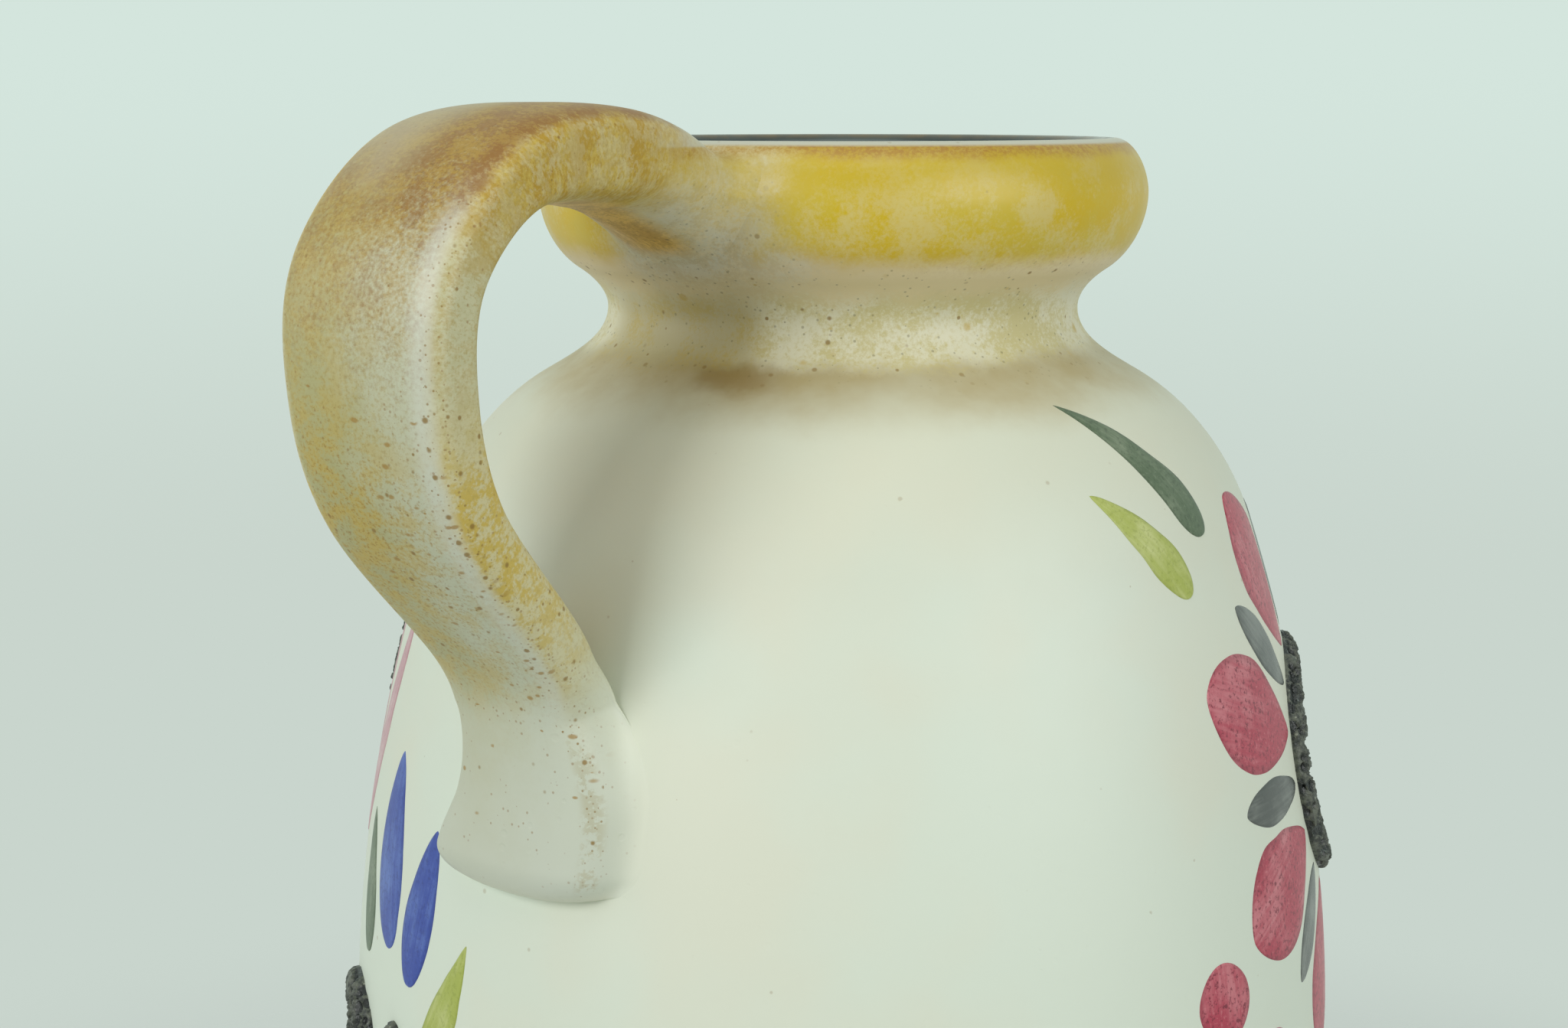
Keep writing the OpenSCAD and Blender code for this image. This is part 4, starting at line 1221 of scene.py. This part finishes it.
# Each trail's lines by the node that it stands for
LAVA_LINES = {
    "front_lava_ring": [ring_line()],
    "front_lava_stem": [[[1, -62], [-5, -80], [-4, -100], [4, -122], [5, -148]]],
    "front_lava_curls": [
        curl([[-13, -103], [-26, -100], [-36, -96.5]], [-47, -76], 17.5, -75, -470),
        curl([[13, -131], [28, -125], [42, -113]], [36, -95], 17, -40, 345),
    ],
    "back_lava_cup": [[[-33, 30], [-32, 2], [-19, -20], [0, -28], [19, -20], [32, 2], [33, 30]]],
    "back_lava_stem": [[[0, -40], [4, -62], [3, -86], [-4, -112], [-3, -140]]],
    "back_lava_branch": [
        curl([[12, -92], [40, -91], [66, -79], [83, -61]], [70, -49], 17.5, -22, 365),
        [[95, -72], [98, -52], [97, -32]],
    ],
    "back_lava_curls": [
        curl([[-12, -75], [-26, -81], [-37, -83]], [-44, -65], 17.5, -86, -475),
        curl([[7, -126], [24, -132], [47, -131.5]], [51, -113], 18, -82, 295),
    ],
    "side_lava_stem": [[[0, 42], [3, 20], [-3, -8], [2, -38], [0, -78]]],
}

# Each colour's strokes by the node that they stand for, and the [fullness, roundness] of the usual ones
LEAF = [0.62, 0.7]
BROAD_LEAF = [0.6, 0.7]
BERRY = [1, 0.5]
TALL_PETAL = [0.9, 0.65]
PETAL = [0.8, 0.65]
BUD_PETAL = [0.75, 0.65]
LONG_STROKE = [0.7, 0.6]
DROP = [0.8, 0.6]
STROKES = {
    "front_crimson_petals": ring_strokes(0.5, 32, 21, 1.3, 0.6),
    "front_charcoal_strokes": ring_strokes(0, 24, 8, 1.1, 0.6),
    "front_yellow_heart": [[0, -HEART_R, 90, 2 * HEART_R, 2 * HEART_R, 0, *BERRY]],
    "front_green_leaves": [
        *pair(-37, 47, 102, 24, 9, 14, *BROAD_LEAF),
        [-13, -123, 196, 34, 11, -36, *LEAF], [11, -74, 10, 38, 11, -20, *LEAF],
        [-77, -86, 134, 30, 10, 20, *BROAD_LEAF], [62, -82, 64, 34, 10, 20, *BROAD_LEAF],
    ],
    "front_lime_leaves": [
        *pair(-47, 38, 116, 22, 8, 16, *BROAD_LEAF),
        [-12, -138, 206, 32, 10, -34, *LEAF], [-12, -68, 160, 18, 8, -20, *LEAF],
        [-71, -70, 100, 28, 9.5, 18, *BROAD_LEAF], [66, -98, 34, 30, 9, 20, *BROAD_LEAF],
    ],
    "front_crimson_berries": [
        [-62, -36, 90, 14, 14, 0, *BERRY], [-47, -51, 90, 13, 13, 0, *BERRY],
        [-63, -55, 90, 11, 11, 0, *BERRY], [62, -40, 90, 14, 14, 0, *BERRY],
        [49, -58, 90, 11, 11, 0, *BERRY], [79, -52, 90, 11, 11, 0, *BERRY],
    ],
    "back_blue_petals": [
        [0, -21, 90, 66, 17, 0, *TALL_PETAL], *pair(-11, -17, 119, 58, 14, -34, *PETAL),
        [92, -20, 114, 36, 12, -16, *BUD_PETAL], [101.5, -24, 88, 29, 10, 0, *BUD_PETAL],
    ],
    "back_rose_strokes": [
        *pair(-42, -22, 106, 70, 13, -20, *LONG_STROKE), *pair(-57, -8, 110, 46, 9, -18, *LONG_STROKE),
    ],
    "back_yellow_drops": [*pair(-10, 26, 96, 22, 7, 0, *DROP), *pair(-33, 37, 90, 13, 8, 0, *DROP)],
    "back_green_leaves": [
        [-11, -42, 172, 28, 9, -14, *LEAF], [13, -50, 350, 34, 10, 22, *LEAF],
        [108, -54, 30, 34, 10, 16, *BROAD_LEAF], [79, -25, 104, 27, 9, 10, *LEAF],
        [-14, -126, 210, 32, 10, -30, *LEAF], [80, -92, 16, 34, 10, 24, *BROAD_LEAF],
    ],
    "back_lime_leaves": [
        [-9, -96, 186, 34, 10, -26, *LEAF], [14, -66, 340, 30, 9, 24, *LEAF],
        [107, -68, 8, 30, 9, 18, *BROAD_LEAF], [108, -38, 60, 28, 8, 20, *LEAF],
        [-66, -48, 112, 32, 9, 24, *BROAD_LEAF], [78, -108, 0, 32, 9, 24, *BROAD_LEAF],
    ],
    "side_blue_bud": [[0, 50, 90, 36, 10, 0, *PETAL], *pair(-8, 48, 120, 30, 9, -24, *PETAL)],
    "side_green_leaves": [
        [-10, 26, 150, 28, 9, -28, *LEAF], [10, 6, 30, 28, 9, 28, *LEAF],
        [-11, -14, 152, 30, 9.5, -28, *LEAF], [10, -36, 28, 30, 9.5, 28, *LEAF],
        [-9, -58, 154, 30, 9.5, -28, *LEAF],
    ],
    "side_lime_leaves": [
        [11, 24, 34, 24, 8, 26, *LEAF], [-10, 4, 148, 24, 8, -26, *LEAF],
        [9, -16, 32, 26, 8, 26, *LEAF], [-9, -36, 150, 26, 8.5, -26, *LEAF],
        [10, -60, 28, 28, 9, 26, *LEAF],
    ],
}

# Each enamel's colour, its pooled and thin tones, how grainy it is, and its roughness if not the usual one
ENAMELS = {
    "crimson": ["b23a50", "7d2136", "cf7f86", 0.95],
    "charcoal": ["4a4f4b", "2f3330", "7c827b", 0.15, 0.26],
    "yellow": ["ecdd20", "cdb314", "f2ea74", 0.2],
    "green": ["54674a", "37482f", "8d9a80", 0.5],
    "lime": ["a9b555", "87933a", "c9d08c", 0.4],
    "blue": ["2c46a0", "1c2c74", "5a76be", 0.45],
    "rose": ["c79aa0", "aa7078", "dcc4c2", 0.4],
}


def dress_vase():
    settle(body_piece(), "cream_glaze", body_material(), "body_casting")
    settle(inner_piece(), "inner_glaze", inner_material(), "inner_glaze")
    settle(strap_piece(), "strap_glaze", strap_material(), "strap_handle")
    slip = slip_material()
    settle(slip_piece("slip_at_rim", UPPER_Z + 2, 6), "luting_slip", slip, "upper_luting_slip")
    settle(slip_piece("slip_at_toe", LOWER_Z, 8), "luting_slip", slip, "lower_luting_slip")
    lava = lava_material()
    for node, lines in LAVA_LINES.items():
        spray = SPRAYS[node.split("_")[0]]
        beads = [bead_rings(spray, line) for line in lines]
        settle(laid_piece("trailed_" + node, "pit", beads), "lava_glaze", lava, node)
    enamels = {colour: enamel_material(colour + "_enamel", *mix) for colour, mix in ENAMELS.items()}
    for node, strokes in STROKES.items():
        side, colour, _ = node.split("_")
        made = [stroke_rings(SPRAYS[side], stroke, i) for i, stroke in enumerate(strokes)]
        settle(laid_piece("brushed_" + node, "brush", made), colour + "_enamel", enamels[colour], node)


# Stage: floor, light and camera
PHOTO_W = 2048
CAMERA_ANGLE = 215
CAMERA_REACH = 434
CAMERA_H = 305.7
CAMERA_PITCH = 10.06
CAMERA_YAW = 1.449
FOCAL_PIXELS = 3004
SENSOR_W = 36


def face(made, look):
    """Turns a camera or a lamp so that it looks that way."""
    made.rotation_euler = look.to_track_quat("-Z", "Y").to_euler()


def camera():
    lens = bpy.data.cameras.new("view")
    lens.sensor_width = SENSOR_W
    lens.lens = FOCAL_PIXELS / PHOTO_W * SENSOR_W
    lens.clip_start = 0.01
    lens.clip_end = 50
    made = placed("view", lens)
    x, y = direction(CAMERA_ANGLE) * CAMERA_REACH
    made.location = Vector((x, y, CAMERA_H)) * MM
    ahead = direction(CAMERA_ANGLE + 180 + CAMERA_YAW)
    pitch = math.radians(CAMERA_PITCH)
    face(made, Vector((ahead[0] * math.cos(pitch), ahead[1] * math.cos(pitch), -math.sin(pitch))))
    bpy.context.scene.camera = made


BACKDROP_TOP = "d4e5dd"
BACKDROP_LOW = "c9d5cd"
FLOOR_PAPER = "f0f7f3"
FILL_COLOUR = (0.96, 1.0, 0.98, 1)
FILL_LIGHT = 0.26


def seen_by_camera(s):
    """1 for what the camera sees directly, in a reflection or through glass."""
    ray = s.add("ShaderNodeLightPath", {}).outputs
    return s.most(ray["Is Camera Ray"], ray["Is Glossy Ray"], ray["Is Transmission Ray"])


def backdrop():
    world = bpy.data.worlds.new("studio")
    world.use_nodes = True
    world.node_tree.nodes.clear()
    s = Shades(world.node_tree)
    up = s.parts(s.add("ShaderNodeTexCoord", {}).outputs["Generated"])[2]
    shown = s.lay(s.step(up, -0.2, 0.03), BACKDROP_LOW, BACKDROP_TOP)
    paper = s.add("ShaderNodeBackground", {"Color": shown, "Strength": 1.0})
    light = s.add("ShaderNodeBackground", {"Color": FILL_COLOUR, "Strength": FILL_LIGHT})
    both = s.add("ShaderNodeMixShader", {0: seen_by_camera(s), 1: light.outputs[0], 2: paper.outputs[0]})
    s.add("ShaderNodeOutputWorld", {0: both.outputs[0]})
    bpy.context.scene.world = world


# The floor's half width in metres, and where it fades out, in millimetres from the vase's axis
FLOOR_HALF = 1.0
FADE_FROM = 190.0
FADE_TO = 450.0


def floor():
    mesh = bpy.data.meshes.new("floor")
    corners = [(x * FLOOR_HALF, y * FLOOR_HALF, 0) for x, y in ((-1, -1), (1, -1), (1, 1), (-1, 1))]
    mesh.from_pydata(corners, [], [(0, 1, 2, 3)])
    made = placed("floor", mesh)
    material, s = new_material("paper_floor")
    far = s.add("ShaderNodeVectorMath", {0: s.place()}, operation="LENGTH").outputs["Value"]
    lit = s.add("ShaderNodeBsdfDiffuse", {"Color": tone(FLOOR_PAPER)})
    beyond = s.add("ShaderNodeBsdfTransparent", {})
    from_below = s.add("ShaderNodeNewGeometry", {}).outputs["Backfacing"]
    clear = s.most(s.step(far, FADE_FROM, FADE_TO), from_below)
    both = s.add("ShaderNodeMixShader", {0: clear, 1: lit.outputs[0], 2: beyond.outputs[0]})
    s.add("ShaderNodeOutputMaterial", {0: both.outputs[0]})
    mesh.materials.append(material)


# Square softboxes that face the vase's shoulder: angle, distance, height and size in metres, and power
LIT_PLACE = Vector((0, 0, 0.2))
SOFTBOXES = {
    "handle_softbox": [HANDLE_ANGLE - 6, 1.3, 0.8, 0.6, 8.0],
    "back_softbox": [HANDLE_ANGLE - 50, 1.3, 0.55, 0.8, 2.5],
    "right_softbox": [CAMERA_ANGLE + 50, 1.3, 0.65, 0.9, 7.4],
    "top_softbox": [CAMERA_ANGLE, 0.35, 1.4, 1.0, 3.2],
}


def softbox(name, angle, reach, height, size, power):
    light = bpy.data.lights.new(name, "AREA")
    light.size = size
    light.energy = power
    made = placed(name, light)
    x, y = direction(angle) * reach
    made.location = (x, y, height)
    face(made, LIT_PLACE - made.location)


def stage():
    camera()
    backdrop()
    floor()
    for name, settings in SOFTBOXES.items():
        softbox(name, *settings)
    bpy.context.scene.view_settings.view_transform = "Standard"


stage()
dress_vase()
